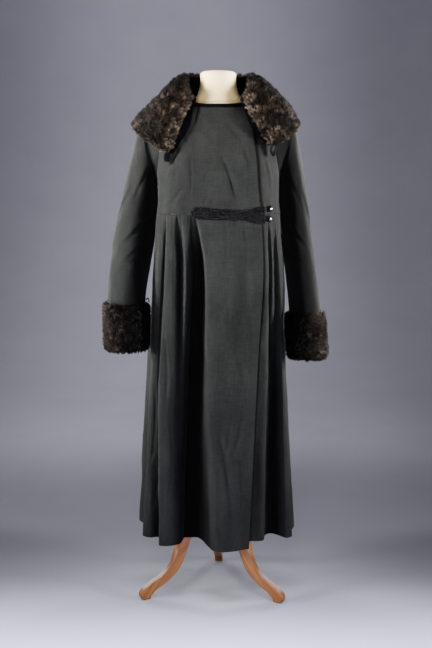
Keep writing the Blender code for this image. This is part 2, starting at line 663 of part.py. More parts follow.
def make_collar():
    sheet = collar_surface()
    normal = grid_normals(sheet)
    solid_between("collar_lining", sheet + normal * COLLAR_CLOTH, sheet, "velvet")
    under_fur = (slice(FUR_FIRST_ROW, None), slice(COLLAR_STEPS, -COLLAR_STEPS))
    base = sheet[under_fur] + normal[under_fur] * (COLLAR_CLOTH + FUR_LIFT)
    rows, columns = base.shape[:2]
    from_edge_row = np.minimum(np.arange(rows), rows - 1 - np.arange(rows))[:, None]
    from_edge_column = np.minimum(np.arange(columns), columns - 1 - np.arange(columns))[None, :]
    from_edge = np.minimum(from_edge_row, from_edge_column)
    depth = np.choose(np.minimum(from_edge, 2), [0.35, 0.80, 1.0]) * FUR_DEPTH
    solid_between("collar_fur", base + normal[under_fur] * depth[..., None], base, "fur")


def make_neck_binding():
    """The black band along the front neckline, on the outside of the fronts."""
    turns, levels = np.meshgrid(np.linspace(*BINDING_TURNS, 15), BINDING_LEVELS)
    grid = body_point(turns, levels)
    normal = body_normal(turns, levels)
    inner = grid + normal * BINDING_LIFT
    solid_between("neck_binding", inner + normal * BINDING_THICKNESS, inner, "velvet")


# Braid, buttons and cords
BRAID_STATIONS = (
    # x, top_z, bottom_z
    (-0.0735, 1.1070, 1.0980),
    (-0.0680, 1.1150, 1.0900),
    (-0.0520, 1.1175, 1.0870),
    (0.0000, 1.1140, 1.0850),
    (0.0400, 1.1115, 1.0835),
    (0.0800, 1.1120, 1.0830),
    (0.1000, 1.1155, 1.0800),
    (0.1170, 1.1205, 1.0735),
    (0.1270, 1.1190, 1.0760),
)
BRAID_THICKNESS = 0.0034
BRAID_LIFT = 0.0011
BRAID_LEAN = 0.07
BRAID_LEAN_ADDED = 0.11
LOOP_RADIUS = 0.0068
LOOP_RISE = 0.0040


def front_y(x):
    """The waist's front surface at a distance to the side."""
    _, left, right, front, _, square = BODY_LEVELS[0][:6]
    side = np.where(np.asarray(x) < 0, left, right)
    return -front * (1 - np.abs(x / side) ** square) ** (1 / square)


def make_braid():
    table = np.array(BRAID_STATIONS)
    x = np.linspace(table[0, 0], table[-1, 0], 19)
    _, top, bottom = through(table[:, 0], table, x).T
    outer, inner = [], []
    for share in (0.0, 0.5, 1.0):
        z = bottom + (top - bottom) * share
        lean = BRAID_LEAN + BRAID_LEAN_ADDED * smoothstep(0.05, 0.12, x)
        back = front_y(x) - BRAID_LIFT - lean * np.clip(WAIST_Z - z, 0, None)
        inner.append(np.stack([x, back, z], axis=-1))
        outer.append(np.stack([x, back - BRAID_THICKNESS, z], axis=-1))
    solid_between("braid_band", np.array(outer), np.array(inner), "braid")


BUTTON_LIFT = 0.0008
LOOP_LIFT = 0.0007
BUTTONS = (
    # name, loop, turn, z, how far the gathers stand out under it
    ("button_upper", "braid_loop_upper", 48.4, 1.1138, -0.0012),
    ("button_lower", "braid_loop_lower", 47.4, 1.0870, 0.0008),
)


def button_seat(turn, z, lift):
    """The point of the left front's surface behind a button, and the directions out of it and along it."""
    at = np.array([turn])
    out = body_normal(at, 0.05)[0]
    seat = body_point(at, 0.0)[0] + out * (lift - underlap_inset(turn))
    seat[2] = z
    return seat, out, np.array([-out[1], out[0], 0.0])


def make_fastenings():
    make_braid()
    for name, loop, turn, z, lift in BUTTONS:
        seat, out, along = button_seat(turn, z, lift)
        bpy.ops.mesh.primitive_uv_sphere_add(segments=14, ring_count=9, radius=BUTTON_RADIUS)
        ball = bpy.context.object
        for collection in list(ball.users_collection):
            collection.objects.unlink(ball)
        ball.name = name
        ball.location = seat + out * (BUTTON_RADIUS + BUTTON_LIFT)
        ball.data.shade_smooth()
        place(ball, "silver")
        points = []
        for angle in np.radians(np.linspace(150, -150, 13)):
            share = (1 - np.cos(angle)) / 2
            ring = along * LOOP_RADIUS * np.cos(angle) + np.array([0, 0, LOOP_RADIUS]) * np.sin(angle)
            points.append(seat + ring + out * (CORD_RADIUS + LOOP_LIFT + LOOP_RISE * share**2))
        tube(loop, points, CORD_RADIUS, "braid")


CORDS = (
    # name, radius, route of xyz points
    (
        "collar_toggle",
        0.0044,
        ((-0.1395, -0.1296, 1.2636), (-0.1405, -0.1300, 1.2520), (-0.1400, -0.1300, 1.2400)),
    ),
    (
        "collar_loop_left",
        0.0012,
        ((-0.1300, -0.1335, 1.2612), (-0.1310, -0.1340, 1.2480), (-0.1280, -0.1345, 1.2330), (-0.1250, -0.1354, 1.2598)),
    ),
    (
        "collar_loop_right",
        0.0024,
        ((0.1440, -0.1260, 1.2820), (0.1420, -0.1270, 1.2700), (0.1500, -0.1275, 1.2590), (0.1560, -0.1260, 1.2820)),
    ),
    (
        "cuff_loop",
        0.0016,
        ((-0.2030, -0.0520, 0.8580), (-0.2000, -0.0520, 0.8640), (-0.1955, -0.0520, 0.8600), (-0.1950, -0.0520, 0.8520)),
    ),
)


def make_cords():
    for name, radius, route in CORDS:
        places = np.linspace(0, len(route) - 1, 4 * len(route) - 3)
        tube(name, through(np.arange(len(route)), route, places), radius, "braid")


# Dress form and stand
FORM_SIDES = 24


def oval_ring(turns, z, half_width, half_depth):
    angle = np.radians(turns)
    return np.stack([half_width * np.sin(angle), -half_depth * np.cos(angle), np.full(len(turns), z)], -1)


def make_form():
    turns = np.linspace(-180, 180, FORM_SIDES, endpoint=False)
    insets = [row[9] for row in BODY_LEVELS]
    rings = []
    for row in HIP_RINGS[::-1]:
        rings.append(oval_ring(turns, *row))
    around, levels = np.meshgrid(turns, (0.4, 2.0, 3.2, 4.2, 5.0, 5.5, 6.0, 6.99))
    inset = through(range(len(insets)), insets, levels[:, 0])[:, None] + underlap_inset(np.abs(around))
    rings.extend(body_point(around, levels) - body_normal(around, levels) * inset[..., None])
    for row in NECK_RINGS:
        rings.append(oval_ring(turns, *row))
    grid = np.array(rings)
    obj = grid_object("form_torso", grid, "jersey", closed=True)
    cap = bmesh.new()
    cap.from_mesh(obj.data)
    bmesh.ops.holes_fill(cap, edges=cap.edges, sides=0)
    bmesh.ops.recalc_face_normals(cap, faces=cap.faces)
    cap.to_mesh(obj.data)
    cap.free()


def cylinder(name, radius, low, high, slot, sides=20):
    """An upright turned piece."""
    bpy.ops.mesh.primitive_cylinder_add(vertices=sides, radius=radius, depth=high - low)
    obj = bpy.context.object
    for collection in list(obj.users_collection):
        collection.objects.unlink(obj)
    obj.name = name
    obj.location = (STAND_X, STAND_Y, (low + high) / 2)
    obj.data.shade_smooth()
    obj.data.set_sharp_from_angle(angle=0.6)
    return place(obj, slot)


def leg_outline():
    """The leg's side outline: out along its upper edge, round the toe, and back along its lower edge."""
    table = np.array(LEG_SECTIONS)
    places = np.linspace(0, len(table) - 1, 2 * len(table) - 1)
    line = through(np.arange(len(table)), table, places)
    middle = line[:, :2]
    ahead = np.gradient(middle, axis=0)
    ahead /= np.linalg.norm(ahead, axis=1, keepdims=True)
    across = np.stack([-ahead[:, 1], ahead[:, 0]], axis=1)
    upper = middle + across * line[:, 2:3] / 2
    lower = middle - across * line[:, 2:3] / 2
    upper[0, 0] = lower[0, 0] = table[0, 0]
    lower = np.maximum(lower, (table[0, 0], 0.0))
    toe = [(FOOT_REACH + reach, height) for reach, height in TOE_OUTLINE]
    keep = lower[lower[:, 0] < FOOT_REACH - FOOT_BACK]
    return [tuple(p) for p in upper[:-1]] + toe + [tuple(p) for p in keep[::-1]]


def make_leg(name, turn):
    """A swept flat leg with eased edges: its outline extruded to its thickness."""
    half = LEG_THICKNESS / 2
    work = bmesh.new()
    ring = [work.verts.new((reach, -half, height)) for reach, height in leg_outline()]
    face = work.faces.new(ring)
    grown = bmesh.ops.extrude_face_region(work, geom=[face])
    for vert in (v for v in grown["geom"] if isinstance(v, bmesh.types.BMVert)):
        vert.co.y = half
    bmesh.ops.recalc_face_normals(work, faces=work.faces)
    mesh = bpy.data.meshes.new(name)
    work.to_mesh(mesh)
    work.free()
    mesh.shade_smooth()
    mesh.set_sharp_from_angle(angle=0.7)
    obj = place(bpy.data.objects.new(name, mesh), "wood")
    obj.location = (STAND_X, STAND_Y, 0)
    obj.rotation_euler = (0, 0, np.radians(90 - turn))
    return obj


def make_stand():
    cylinder("stand_column", COLUMN_RADIUS, HUB_SPAN[1] + WOOD_GAP, HIP_RINGS[-1][0] - WOOD_GAP, "wood", 16)
    cylinder("stand_hub", HUB_RADIUS, *HUB_SPAN, "wood", 24)
    for index in range(3):
        make_leg(f"stand_leg_{index + 1}", STAND_TURN + 120 * index)


clear_scene()
COAT = bpy.data.collections.new("coat_on_form")
bpy.context.scene.collection.children.link(COAT)
ROOT = bpy.data.objects.new("coat_on_form_origin", None)
ROOT.location = Vector((NECK_X, NECK_Y, 0))
COAT.objects.link(ROOT)

make_bodice()
make_skirt()
make_sleeves()
make_collar()
make_neck_binding()
make_fastenings()
make_cords()
make_form()
make_stand()
bpy.context.view_layer.update()
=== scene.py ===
import bmesh
import bpy
import numpy as np
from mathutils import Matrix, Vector, kdtree


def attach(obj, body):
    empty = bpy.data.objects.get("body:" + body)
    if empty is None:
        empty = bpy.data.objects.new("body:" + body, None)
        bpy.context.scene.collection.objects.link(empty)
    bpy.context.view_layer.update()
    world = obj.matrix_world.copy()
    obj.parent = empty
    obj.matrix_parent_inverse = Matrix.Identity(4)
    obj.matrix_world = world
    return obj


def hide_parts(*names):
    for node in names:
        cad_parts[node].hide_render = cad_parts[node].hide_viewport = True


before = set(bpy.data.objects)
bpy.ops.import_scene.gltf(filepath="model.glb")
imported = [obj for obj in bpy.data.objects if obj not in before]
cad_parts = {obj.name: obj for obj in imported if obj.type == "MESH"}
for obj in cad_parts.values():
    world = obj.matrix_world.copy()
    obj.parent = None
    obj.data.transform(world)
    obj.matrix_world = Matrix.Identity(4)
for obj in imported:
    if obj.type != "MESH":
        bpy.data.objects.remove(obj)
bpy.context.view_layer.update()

# Driving sizes, in metres
SEAM = 0.0004
GAP = 0.0003
NECK_X = 0.0075
NECK_Y = -0.0265
WAIST_Z = 1.1000
UPPER_Z = 0.9600
MIDDLE_Z = 0.7200
HEM_Z = 0.1720
UNDERLAP_DROP = 0.0042
CUFF_WALL = 0.0130
CUFF_GAP = 0.0007
COLLAR_CLOTH = 0.0016
COLLAR_GAP = 0.0032
FUR_LIFT = 0.0008
SLEEVE_LIFT = 0.0008
BINDING_LIFT = 0.0008
CORD_RADIUS = 0.0016
BUTTON_RADIUS = 0.0046

# The bodice, ring by ring from the waist seam up to the neckline.
# half widths on -X and +X, depths to the front and back, squareness, height at the front, sides and back,
# and how far the dress form stands inside the cloth
BODY_LEVELS = (
    # name, left, right, front, back, square, z_front, z_side, z_back, form_inset
    ("waist", 0.1715, 0.1735, 0.150, 0.125, 3.8, 1.1000, 1.100, 1.100, 0.030),
    ("ribs", 0.1690, 0.1700, 0.150, 0.130, 3.8, 1.1400, 1.140, 1.140, 0.028),
    ("armhole foot", 0.1700, 0.1695, 0.149, 0.135, 3.8, 1.1820, 1.180, 1.180, 0.026),
    ("chest", 0.1760, 0.1730, 0.146, 0.139, 3.5, 1.2400, 1.243, 1.245, 0.022),
    ("upper chest", 0.1840, 0.1800, 0.134, 0.132, 3.1, 1.2970, 1.310, 1.310, 0.018),
    ("shoulder tip", 0.1840, 0.1810, 0.116, 0.105, 2.8, 1.3420, 1.366, 1.360, 0.010),
    ("shoulder", 0.1300, 0.1280, 0.101, 0.085, 2.6, 1.3760, 1.397, 1.393, 0.0040),
    ("neckline", 0.0790, 0.0790, 0.090, 0.072, 2.6, 1.3985, 1.424, 1.420, 0.0040),
)
ARMHOLE_FOOT = 2.0
ARMHOLE_TOP = 5.0
ARMHOLE_HALF_ANGLE = 31.0
OVERLAP_EDGE = ((0.0, 39.5), (2.0, 37.0), (4.0, 37.0), (5.0, 39.0), (6.0, 43.0), (7.0, 49.0))
UNDERLAP_EDGE = 6.0

# Fold lines of the skirt's right front, which laps over, from its free edge round to its side seam.
# A row is a crest or the bottom of a valley: its turn on the waist seam, then where it is lower down
RIGHT_FRONT_FOLDS = (
    # name, waist_turn, upper_x, upper_y, middle_x, middle_y, hem_x, hem_y
    ("free edge", 39.5, 0.1220, -0.154, 0.1100, -0.154, 0.0860, -0.160),
    ("panel right", 22.0, 0.0680, -0.159, 0.0580, -0.167, 0.0420, -0.188),
    ("panel middle", 3.0, 0.0120, -0.160, 0.0080, -0.167, 0.0060, -0.189),
    ("panel roll", -14.0, -0.0260, -0.158, -0.0260, -0.160, -0.0190, -0.168),
    ("panel edge", -20.2, -0.0375, -0.147, -0.0385, -0.140, -0.0360, -0.124),
    ("deep valley start", -22.4, -0.0420, -0.106, -0.0455, -0.091, -0.0560, -0.073),
    ("small gather", -24.7, -0.0560, -0.111, -0.0640, -0.087, -0.0800, -0.067),
    ("deep valley end", -26.8, -0.0690, -0.105, -0.0790, -0.086, -0.0990, -0.069),
    ("fold C inner side", -29.1, -0.0790, -0.131, -0.0840, -0.110, -0.1020, -0.098),
    ("fold C", -32.4, -0.0900, -0.139, -0.0955, -0.123, -0.1080, -0.122),
    ("valley B to C", -37.4, -0.1075, -0.104, -0.1110, -0.113, -0.1200, -0.131),
    ("fold B inner", -39.9, -0.1180, -0.133, -0.1205, -0.129, -0.1330, -0.137),
    ("fold B", -44.3, -0.1360, -0.134, -0.1410, -0.131, -0.1530, -0.138),
    ("fold B edge", -46.6, -0.1465, -0.122, -0.1615, -0.119, -0.1680, -0.127),
    ("valley A to B", -48.1, -0.1470, -0.097, -0.1600, -0.080, -0.1670, -0.070),
    ("fold A inner", -51.4, -0.1550, -0.105, -0.1710, -0.080, -0.1780, -0.060),
    ("fold A", -57.5, -0.1680, -0.096, -0.1850, -0.074, -0.2000, -0.063),
    ("fold A outer", -68.0, -0.1800, -0.062, -0.1900, -0.048, -0.2185, -0.043),
    ("side valley", -80.0, -0.1740, -0.022, -0.1830, 0.000, -0.2060, 0.024),
    ("side fold", -87.0, -0.1850, 0.016, -0.2050, 0.048, -0.2390, 0.098),
    ("side seam", -93.0, -0.1810, 0.044, -0.2030, 0.086, -0.2360, 0.144),
)

# Fold lines of the skirt's left front, which lies under, from its hidden edge round to its side seam
LEFT_FRONT_FOLDS = (
    # name, waist_turn, upper_x, upper_y, middle_x, middle_y, hem_x, hem_y
    ("hidden edge", 8.0, 0.0300, -0.1480, 0.0270, -0.143, 0.0120, -0.132),
    ("hidden middle", 24.0, 0.0760, -0.1480, 0.0690, -0.139, 0.0520, -0.116),
    ("strip left", 38.0, 0.1140, -0.1450, 0.1070, -0.131, 0.0900, -0.100),
    ("strip edge", 45.3, 0.1345, -0.1400, 0.1350, -0.124, 0.1265, -0.097),
    ("first valley", 46.6, 0.1375, -0.1180, 0.1380, -0.090, 0.1340, -0.056),
    ("narrow gather", 49.3, 0.1480, -0.1280, 0.1500, -0.078, 0.1460, -0.037),
    ("second valley", 52.8, 0.1560, -0.1050, 0.1620, -0.068, 0.1600, -0.036),
    ("fold E inner", 56.3, 0.1635, -0.1140, 0.1725, -0.078, 0.1840, -0.057),
    ("fold E", 60.0, 0.1715, -0.1080, 0.1790, -0.083, 0.1975, -0.068),
    ("fold E outer", 68.0, 0.1800, -0.0780, 0.1865, -0.058, 0.2140, -0.050),
    ("side valley", 77.0, 0.1770, -0.0340, 0.1800, -0.016, 0.2080, -0.018),
    ("side fold", 85.0, 0.1890, 0.0080, 0.1950, 0.024, 0.2240, 0.022),
    ("side seam", 93.0, 0.1860, 0.0400, 0.1930, 0.056, 0.2280, 0.076),
)

# The skirt's back hangs from its own gathers: one row for each valley, with a crest on either side
BACK_REACH = (
    # level, left, right, back, square
    ("upper", 0.1820, 0.1860, 0.148, 2.6),
    ("middle", 0.2080, 0.1980, 0.180, 2.4),
    ("hem", 0.2500, 0.2420, 0.236, 2.2),
)
BACK_SEAM_TURNS = ((93.0, 108.4), (267.0, 238.6))
BACK_VALLEYS = (
    # waist_turn, hem_turn, upper_depth, middle_depth, hem_depth
    (104.0, 117.0, 0.018, 0.026, 0.040),
    (119.0, 129.5, 0.012, 0.020, 0.030),
    (137.0, 144.0, 0.024, 0.036, 0.054),
    (154.0, 157.0, 0.012, 0.018, 0.028),
    (172.0, 170.5, 0.026, 0.040, 0.056),
    (189.0, 182.5, 0.014, 0.024, 0.036),
    (207.0, 195.5, 0.022, 0.034, 0.050),
    (224.0, 207.5, 0.012, 0.018, 0.026),
    (242.0, 220.5, 0.024, 0.036, 0.052),
    (258.0, 231.5, 0.012, 0.020, 0.026),
)

# Sleeves, ring by ring below the armhole: the ring's outer and inner points seen from the front
RIGHT_SLEEVE = (
    # name, outer_x, outer_z, inner_x, inner_z, half_depth, centre_y
    ("head", -0.2020, 1.362, -0.1722, 1.1780, 0.0810, 0.002),
    ("cap", -0.2200, 1.344, -0.1718, 1.1700, 0.0830, 0.001),
    ("crown", -0.2340, 1.315, -0.1712, 1.1590, 0.0820, 0.000),
    ("arm", -0.2460, 1.262, -0.1710, 1.1400, 0.0790, -0.003),
    ("biceps", -0.2590, 1.196, -0.1730, 1.1120, 0.0750, -0.007),
    ("over elbow", -0.2730, 1.138, -0.1758, 1.0800, 0.0720, -0.012),
    ("elbow", -0.2905, 1.050, -0.1800, 1.0200, 0.0690, -0.022),
    ("forearm", -0.3050, 0.966, -0.1905, 0.9550, 0.0660, -0.036),
    ("cuff", -0.3120, 0.862, -0.2050, 0.8580, 0.0640, -0.052),
    ("end", -0.3090, 0.732, -0.2075, 0.7320, 0.0600, -0.062),
)
LEFT_SLEEVE = (
    # name, outer_x, outer_z, inner_x, inner_z, half_depth, centre_y
    ("head", 0.1980, 1.362, 0.1716, 1.1780, 0.0810, 0.002),
    ("cap", 0.2130, 1.344, 0.1714, 1.1700, 0.0830, 0.001),
    ("crown", 0.2230, 1.315, 0.1712, 1.1590, 0.0820, 0.000),
    ("arm", 0.2345, 1.262, 0.1716, 1.1400, 0.0790, -0.003),
    ("biceps", 0.2440, 1.196, 0.1742, 1.1120, 0.0750, -0.007),
    ("over elbow", 0.2535, 1.138, 0.1778, 1.0800, 0.0720, -0.012),
    ("elbow", 0.2620, 1.050, 0.1812, 1.0200, 0.0690, -0.020),
    ("forearm", 0.2720, 0.966, 0.1865, 0.9550, 0.0660, -0.034),
    ("cuff", 0.2870, 0.840, 0.1990, 0.8360, 0.0640, -0.052),
    ("end", 0.2965, 0.710, 0.2060, 0.7100, 0.0600, -0.062),
)
CUFF_RIGHT_SPAN = (0.849, 0.721)
CUFF_LEFT_SPAN = (0.822, 0.699)

# The collar, station by station round the neck from the right front end to the left front end.
# seam: on the neckline; roll: top of the stand; fall: half way down; edge: its lower edge
COLLAR_STATIONS = (
    # seam_xyz, roll_xyz, fall_xyz, edge_xyz
    ((-0.062, -0.072, 1.4055), (-0.063, -0.075, 1.408), (-0.078, -0.121, 1.332), (-0.122, -0.1370, 1.260)),
    ((-0.069, -0.064, 1.4085), (-0.071, -0.068, 1.414), (-0.103, -0.118, 1.334), (-0.148, -0.1270, 1.268)),
    ((-0.076, -0.048, 1.4150), (-0.084, -0.052, 1.438), (-0.138, -0.105, 1.366), (-0.184, -0.1060, 1.291)),
    ((-0.079, -0.024, 1.4250), (-0.090, -0.024, 1.464), (-0.157, -0.078, 1.391), (-0.218, -0.0820, 1.316)),
    ((-0.080, 0.003, 1.4300), (-0.092, 0.006, 1.479), (-0.160, -0.012, 1.413), (-0.232, -0.0250, 1.344)),
    ((-0.071, 0.038, 1.4300), (-0.081, 0.046, 1.484), (-0.140, 0.062, 1.417), (-0.202, 0.0800, 1.348)),
    ((-0.040, 0.067, 1.4270), (-0.046, 0.078, 1.486), (-0.080, 0.112, 1.418), (-0.108, 0.1380, 1.332)),
    ((0.000, 0.077, 1.4260), (0.000, 0.089, 1.486), (0.000, 0.126, 1.416), (0.000, 0.1520, 1.326)),
    ((0.040, 0.067, 1.4270), (0.046, 0.078, 1.486), (0.080, 0.112, 1.418), (0.106, 0.1380, 1.332)),
    ((0.071, 0.038, 1.4300), (0.080, 0.046, 1.484), (0.144, 0.062, 1.420), (0.194, 0.0800, 1.348)),
    ((0.080, 0.003, 1.4300), (0.089, 0.006, 1.479), (0.161, -0.012, 1.418), (0.218, -0.0250, 1.345)),
    ((0.079, -0.024, 1.4250), (0.087, -0.024, 1.464), (0.156, -0.078, 1.397), (0.211, -0.0820, 1.322)),
    ((0.076, -0.048, 1.4150), (0.082, -0.052, 1.438), (0.131, -0.105, 1.370), (0.186, -0.1060, 1.304)),
    ((0.067, -0.066, 1.4085), (0.069, -0.070, 1.414), (0.098, -0.119, 1.346), (0.154, -0.1250, 1.283)),
    ((0.062, -0.072, 1.4055), (0.063, -0.075, 1.408), (0.083, -0.122, 1.342), (0.124, -0.1340, 1.288)),
)

# The dress form above the neckline and below the waist
NECK_RINGS = (
    # z, half_width, half_depth
    (1.4260, 0.0610, 0.0600),
    (1.4480, 0.0525, 0.0525),
    (1.4700, 0.0502, 0.0502),
    (1.4860, 0.0495, 0.0495),
    (1.4915, 0.0440, 0.0440),
)
HIP_RINGS = (
    # z, half_width, half_depth
    (1.060, 0.120, 0.092),
    (0.980, 0.118, 0.088),
    (0.900, 0.122, 0.088),
    (0.830, 0.118, 0.084),
    (0.812, 0.104, 0.072),
)

# The stand
STAND_X = -0.0115
STAND_Y = 0.0060
STAND_TURN = 3.7
FOOT_REACH = 0.2290
LEG_THICKNESS = 0.0240
HUB_RADIUS = 0.0360
HUB_SPAN = (0.190, 0.300)
COLUMN_RADIUS = 0.0160
LEG_SECTIONS = (
    # reach from the column's middle, height of the leg's middle, depth of the leg
    (0.0364, 0.2520, 0.0640),
    (0.0600, 0.2340, 0.0560),
    (0.0850, 0.2000, 0.0460),
    (0.1010, 0.1590, 0.0380),
    (0.1130, 0.1180, 0.0320),
    (0.1310, 0.0810, 0.0280),
    (0.1620, 0.0530, 0.0255),
    (0.1960, 0.0345, 0.0260),
    (0.2160, 0.0205, 0.0310),
)
TOE_OUTLINE = (
    # reach past the foot's end, height: round the toe from its top to the flat of the foot
    (0.0015, 0.0280),
    (0.0080, 0.0175),
    (0.0075, 0.0070),
    (0.0015, 0.0),
    (-0.0200, 0.0),
)
FOOT_BACK = 0.0220
LEG_EASE = 0.0042
TURNED_EASE = 0.003


def through(keys, values, at):
    """A smooth curve through the values at the keys, read at the places asked for."""
    keys = np.asarray(keys, float)
    values = np.asarray(values, float)
    at = np.atleast_1d(np.asarray(at, float))
    slopes = np.gradient(values, keys, axis=0)
    low = np.clip(np.searchsorted(keys, at, side="right") - 1, 0, len(keys) - 2)
    step = keys[low + 1] - keys[low]
    t = (at - keys[low]) / step
    shape = (-1,) + (1,) * (values.ndim - 1)
    t = t.reshape(shape)
    step = step.reshape(shape)
    return (
        (2 * t**3 - 3 * t**2 + 1) * values[low]
        + (t**3 - 2 * t**2 + t) * step * slopes[low]
        + (3 * t**2 - 2 * t**3) * values[low + 1]
        + (t**3 - t**2) * step * slopes[low + 1]
    )


def smoothstep(low, high, value):
    t = np.clip((value - low) / (high - low), 0, 1)
    return t * t * (3 - 2 * t)


def oval_reach(turn, left, right, front, back, square):
    """Distance from the axis to a squared oval, at a turn in degrees from the front."""
    angle = np.radians(turn)
    side = np.where(np.sin(angle) < 0, left, right)
    depth = np.where(np.cos(angle) > 0, front, back)
    wide = np.abs(np.sin(angle) / side) ** square
    deep = np.abs(np.cos(angle) / depth) ** square
    return (wide + deep) ** (-1.0 / square)


def body_point(turn, level):
    """A point of the bodice's outer surface, at a turn in degrees and a level counted up from the waist."""
    rows = np.array([row[1:9] for row in BODY_LEVELS])
    turn = np.asarray(turn, float)
    level = np.broadcast_to(np.asarray(level, float), turn.shape)
    left, right, front, back, square, z_front, z_side, z_back = (
        through(range(len(rows)), rows, level.ravel()).T.reshape(8, *turn.shape)
    )
    reach = oval_reach(turn, left, right, front, back, square)
    angle = np.radians(turn)
    facing = np.cos(angle)
    end = np.where(facing > 0, z_front, z_back)
    z = z_side + (end - z_side) * (1 - np.sin(angle) ** 4)
    return np.stack([np.sin(angle) * reach, -facing * reach, z], axis=-1)


def unit(vectors):
    """The vectors, each scaled to length one."""
    return vectors / np.maximum(np.linalg.norm(vectors, axis=-1, keepdims=True), 1e-12)


def grid_normals(grid):
    """Unit normals of a grid of points, facing away from the body for rows that climb and turns that grow."""
    return unit(np.cross(np.gradient(grid, axis=1), np.gradient(grid, axis=0)))


def body_normal(turn, level):
    """The outward direction at a point of the bodice's surface."""
    near = 0.01
    turn = np.asarray(turn, float)
    level = np.broadcast_to(np.asarray(level, float), turn.shape)
    level = np.clip(level, near, len(BODY_LEVELS) - 1 - near)
    along = body_point(turn + near, level) - body_point(turn - near, level)
    up = body_point(turn, level + near) - body_point(turn, level - near)
    return unit(np.cross(along, up))


def armhole_half_angle(level):
    """Half the armhole's width in degrees at a level, nothing outside it."""
    middle = (ARMHOLE_FOOT + ARMHOLE_TOP) / 2
    half = (ARMHOLE_TOP - ARMHOLE_FOOT) / 2
    return ARMHOLE_HALF_ANGLE * np.sqrt(np.clip(1 - ((level - middle) / half) ** 2, 0, None))


def seam_turn(level):
    """Half a seam's gap, in degrees of turn."""
    return np.degrees(SEAM / body_reach_at_side(level))


def body_reach_at_side(level):
    return abs(body_point(np.array([90.0]), level)[0, 0])


def overlap_edge(level):
    keys, turns = zip(*OVERLAP_EDGE)
    return float(through(keys, turns, level)[0])


def underlap_inset(turn):
    """How far the left front lies inside the right front that covers it."""
    return UNDERLAP_DROP * (1 - smoothstep(52.0, 66.0, turn))


FOLD_KEYS = (WAIST_Z, UPPER_Z, MIDDLE_Z, HEM_Z)


def fold_levels(rows, inset=0.0):
    """Fold lines as points, indexed by level and row, at the waist, upper, middle and hem heights."""
    turns = np.array([row[1] for row in rows], float)
    waist = body_point(turns, 0.0)[:, :2]
    drop = inset * (1 - smoothstep(52.0, 66.0, turns))
    waist = waist * (1 - drop / np.linalg.norm(waist, axis=1))[:, None]
    lower = np.array([row[2:8] for row in rows]).reshape(len(rows), 3, 2)
    return np.concatenate([waist[:, None], lower], axis=1).transpose(1, 0, 2)


def alternate(crests, valleys):
    """Crests and valleys in turn, starting and ending on a crest."""
    both = np.empty(len(crests) + len(valleys))
    both[0::2] = crests
    both[1::2] = valleys
    return both


def back_fold_levels():
    """The back's crests and valleys as points, with the side seams' rows at both ends."""
    reach = {row[0]: row[1:] for row in BACK_REACH}
    valleys = np.array(BACK_VALLEYS)
    (waist_start, hem_start), (waist_end, hem_end) = BACK_SEAM_TURNS
    waist_turns = np.concatenate([[waist_start], valleys[:, 0], [waist_end]])
    hem_turns = np.concatenate([[hem_start], valleys[:, 1], [hem_end]])
    waist_crests = (waist_turns[1:] + waist_turns[:-1]) / 2
    hem_crests = (hem_turns[1:] + hem_turns[:-1]) / 2
    levels = [body_point(alternate(waist_crests, valleys[:, 0]), 0.0)[:, :2]]
    for name, column, share in (("upper", 2, 0.35), ("middle", 3, 0.7), ("hem", 4, 1.0)):
        left, right, back, square = reach[name]
        crests = waist_crests * (1 - share) + hem_crests * share
        bottoms = valleys[:, 0] * (1 - share) + valleys[:, 1] * share
        turns = alternate(crests, bottoms)
        depth = alternate(np.zeros(len(crests)), valleys[:, column])
        out = oval_reach(turns, left, right, back, back, square) - depth
        angle = np.radians(turns)
        levels.append(np.stack([np.sin(angle) * out, -np.cos(angle) * out], axis=-1))
    folds = np.stack(levels)
    right_side = fold_levels(LEFT_FRONT_FOLDS)[:, -1:]
    left_side = fold_levels(RIGHT_FRONT_FOLDS)[:, -1:]
    return np.concatenate([right_side, folds, left_side], axis=1)


# Sizes of the finer cloth, in metres
SHELL = 0.0019
# Painted shade on the wool: the value that leaves its colour as it is, and how much painted highlight and
# shade its ridges and troughs get
UNSHADED = 0.2
RIDGE_PAINTED_LIGHT = 0.07
RELIEF_HEIGHT = 0.0012
BODICE_COLUMN = 1.1
SLEEVE_AROUND = 72
ORIGIN = np.array([NECK_X, NECK_Y, 0.0])
ARMHOLE_MIDDLE = (ARMHOLE_FOOT + ARMHOLE_TOP) / 2
ARMHOLE_HALF = (ARMHOLE_TOP - ARMHOLE_FOOT) / 2


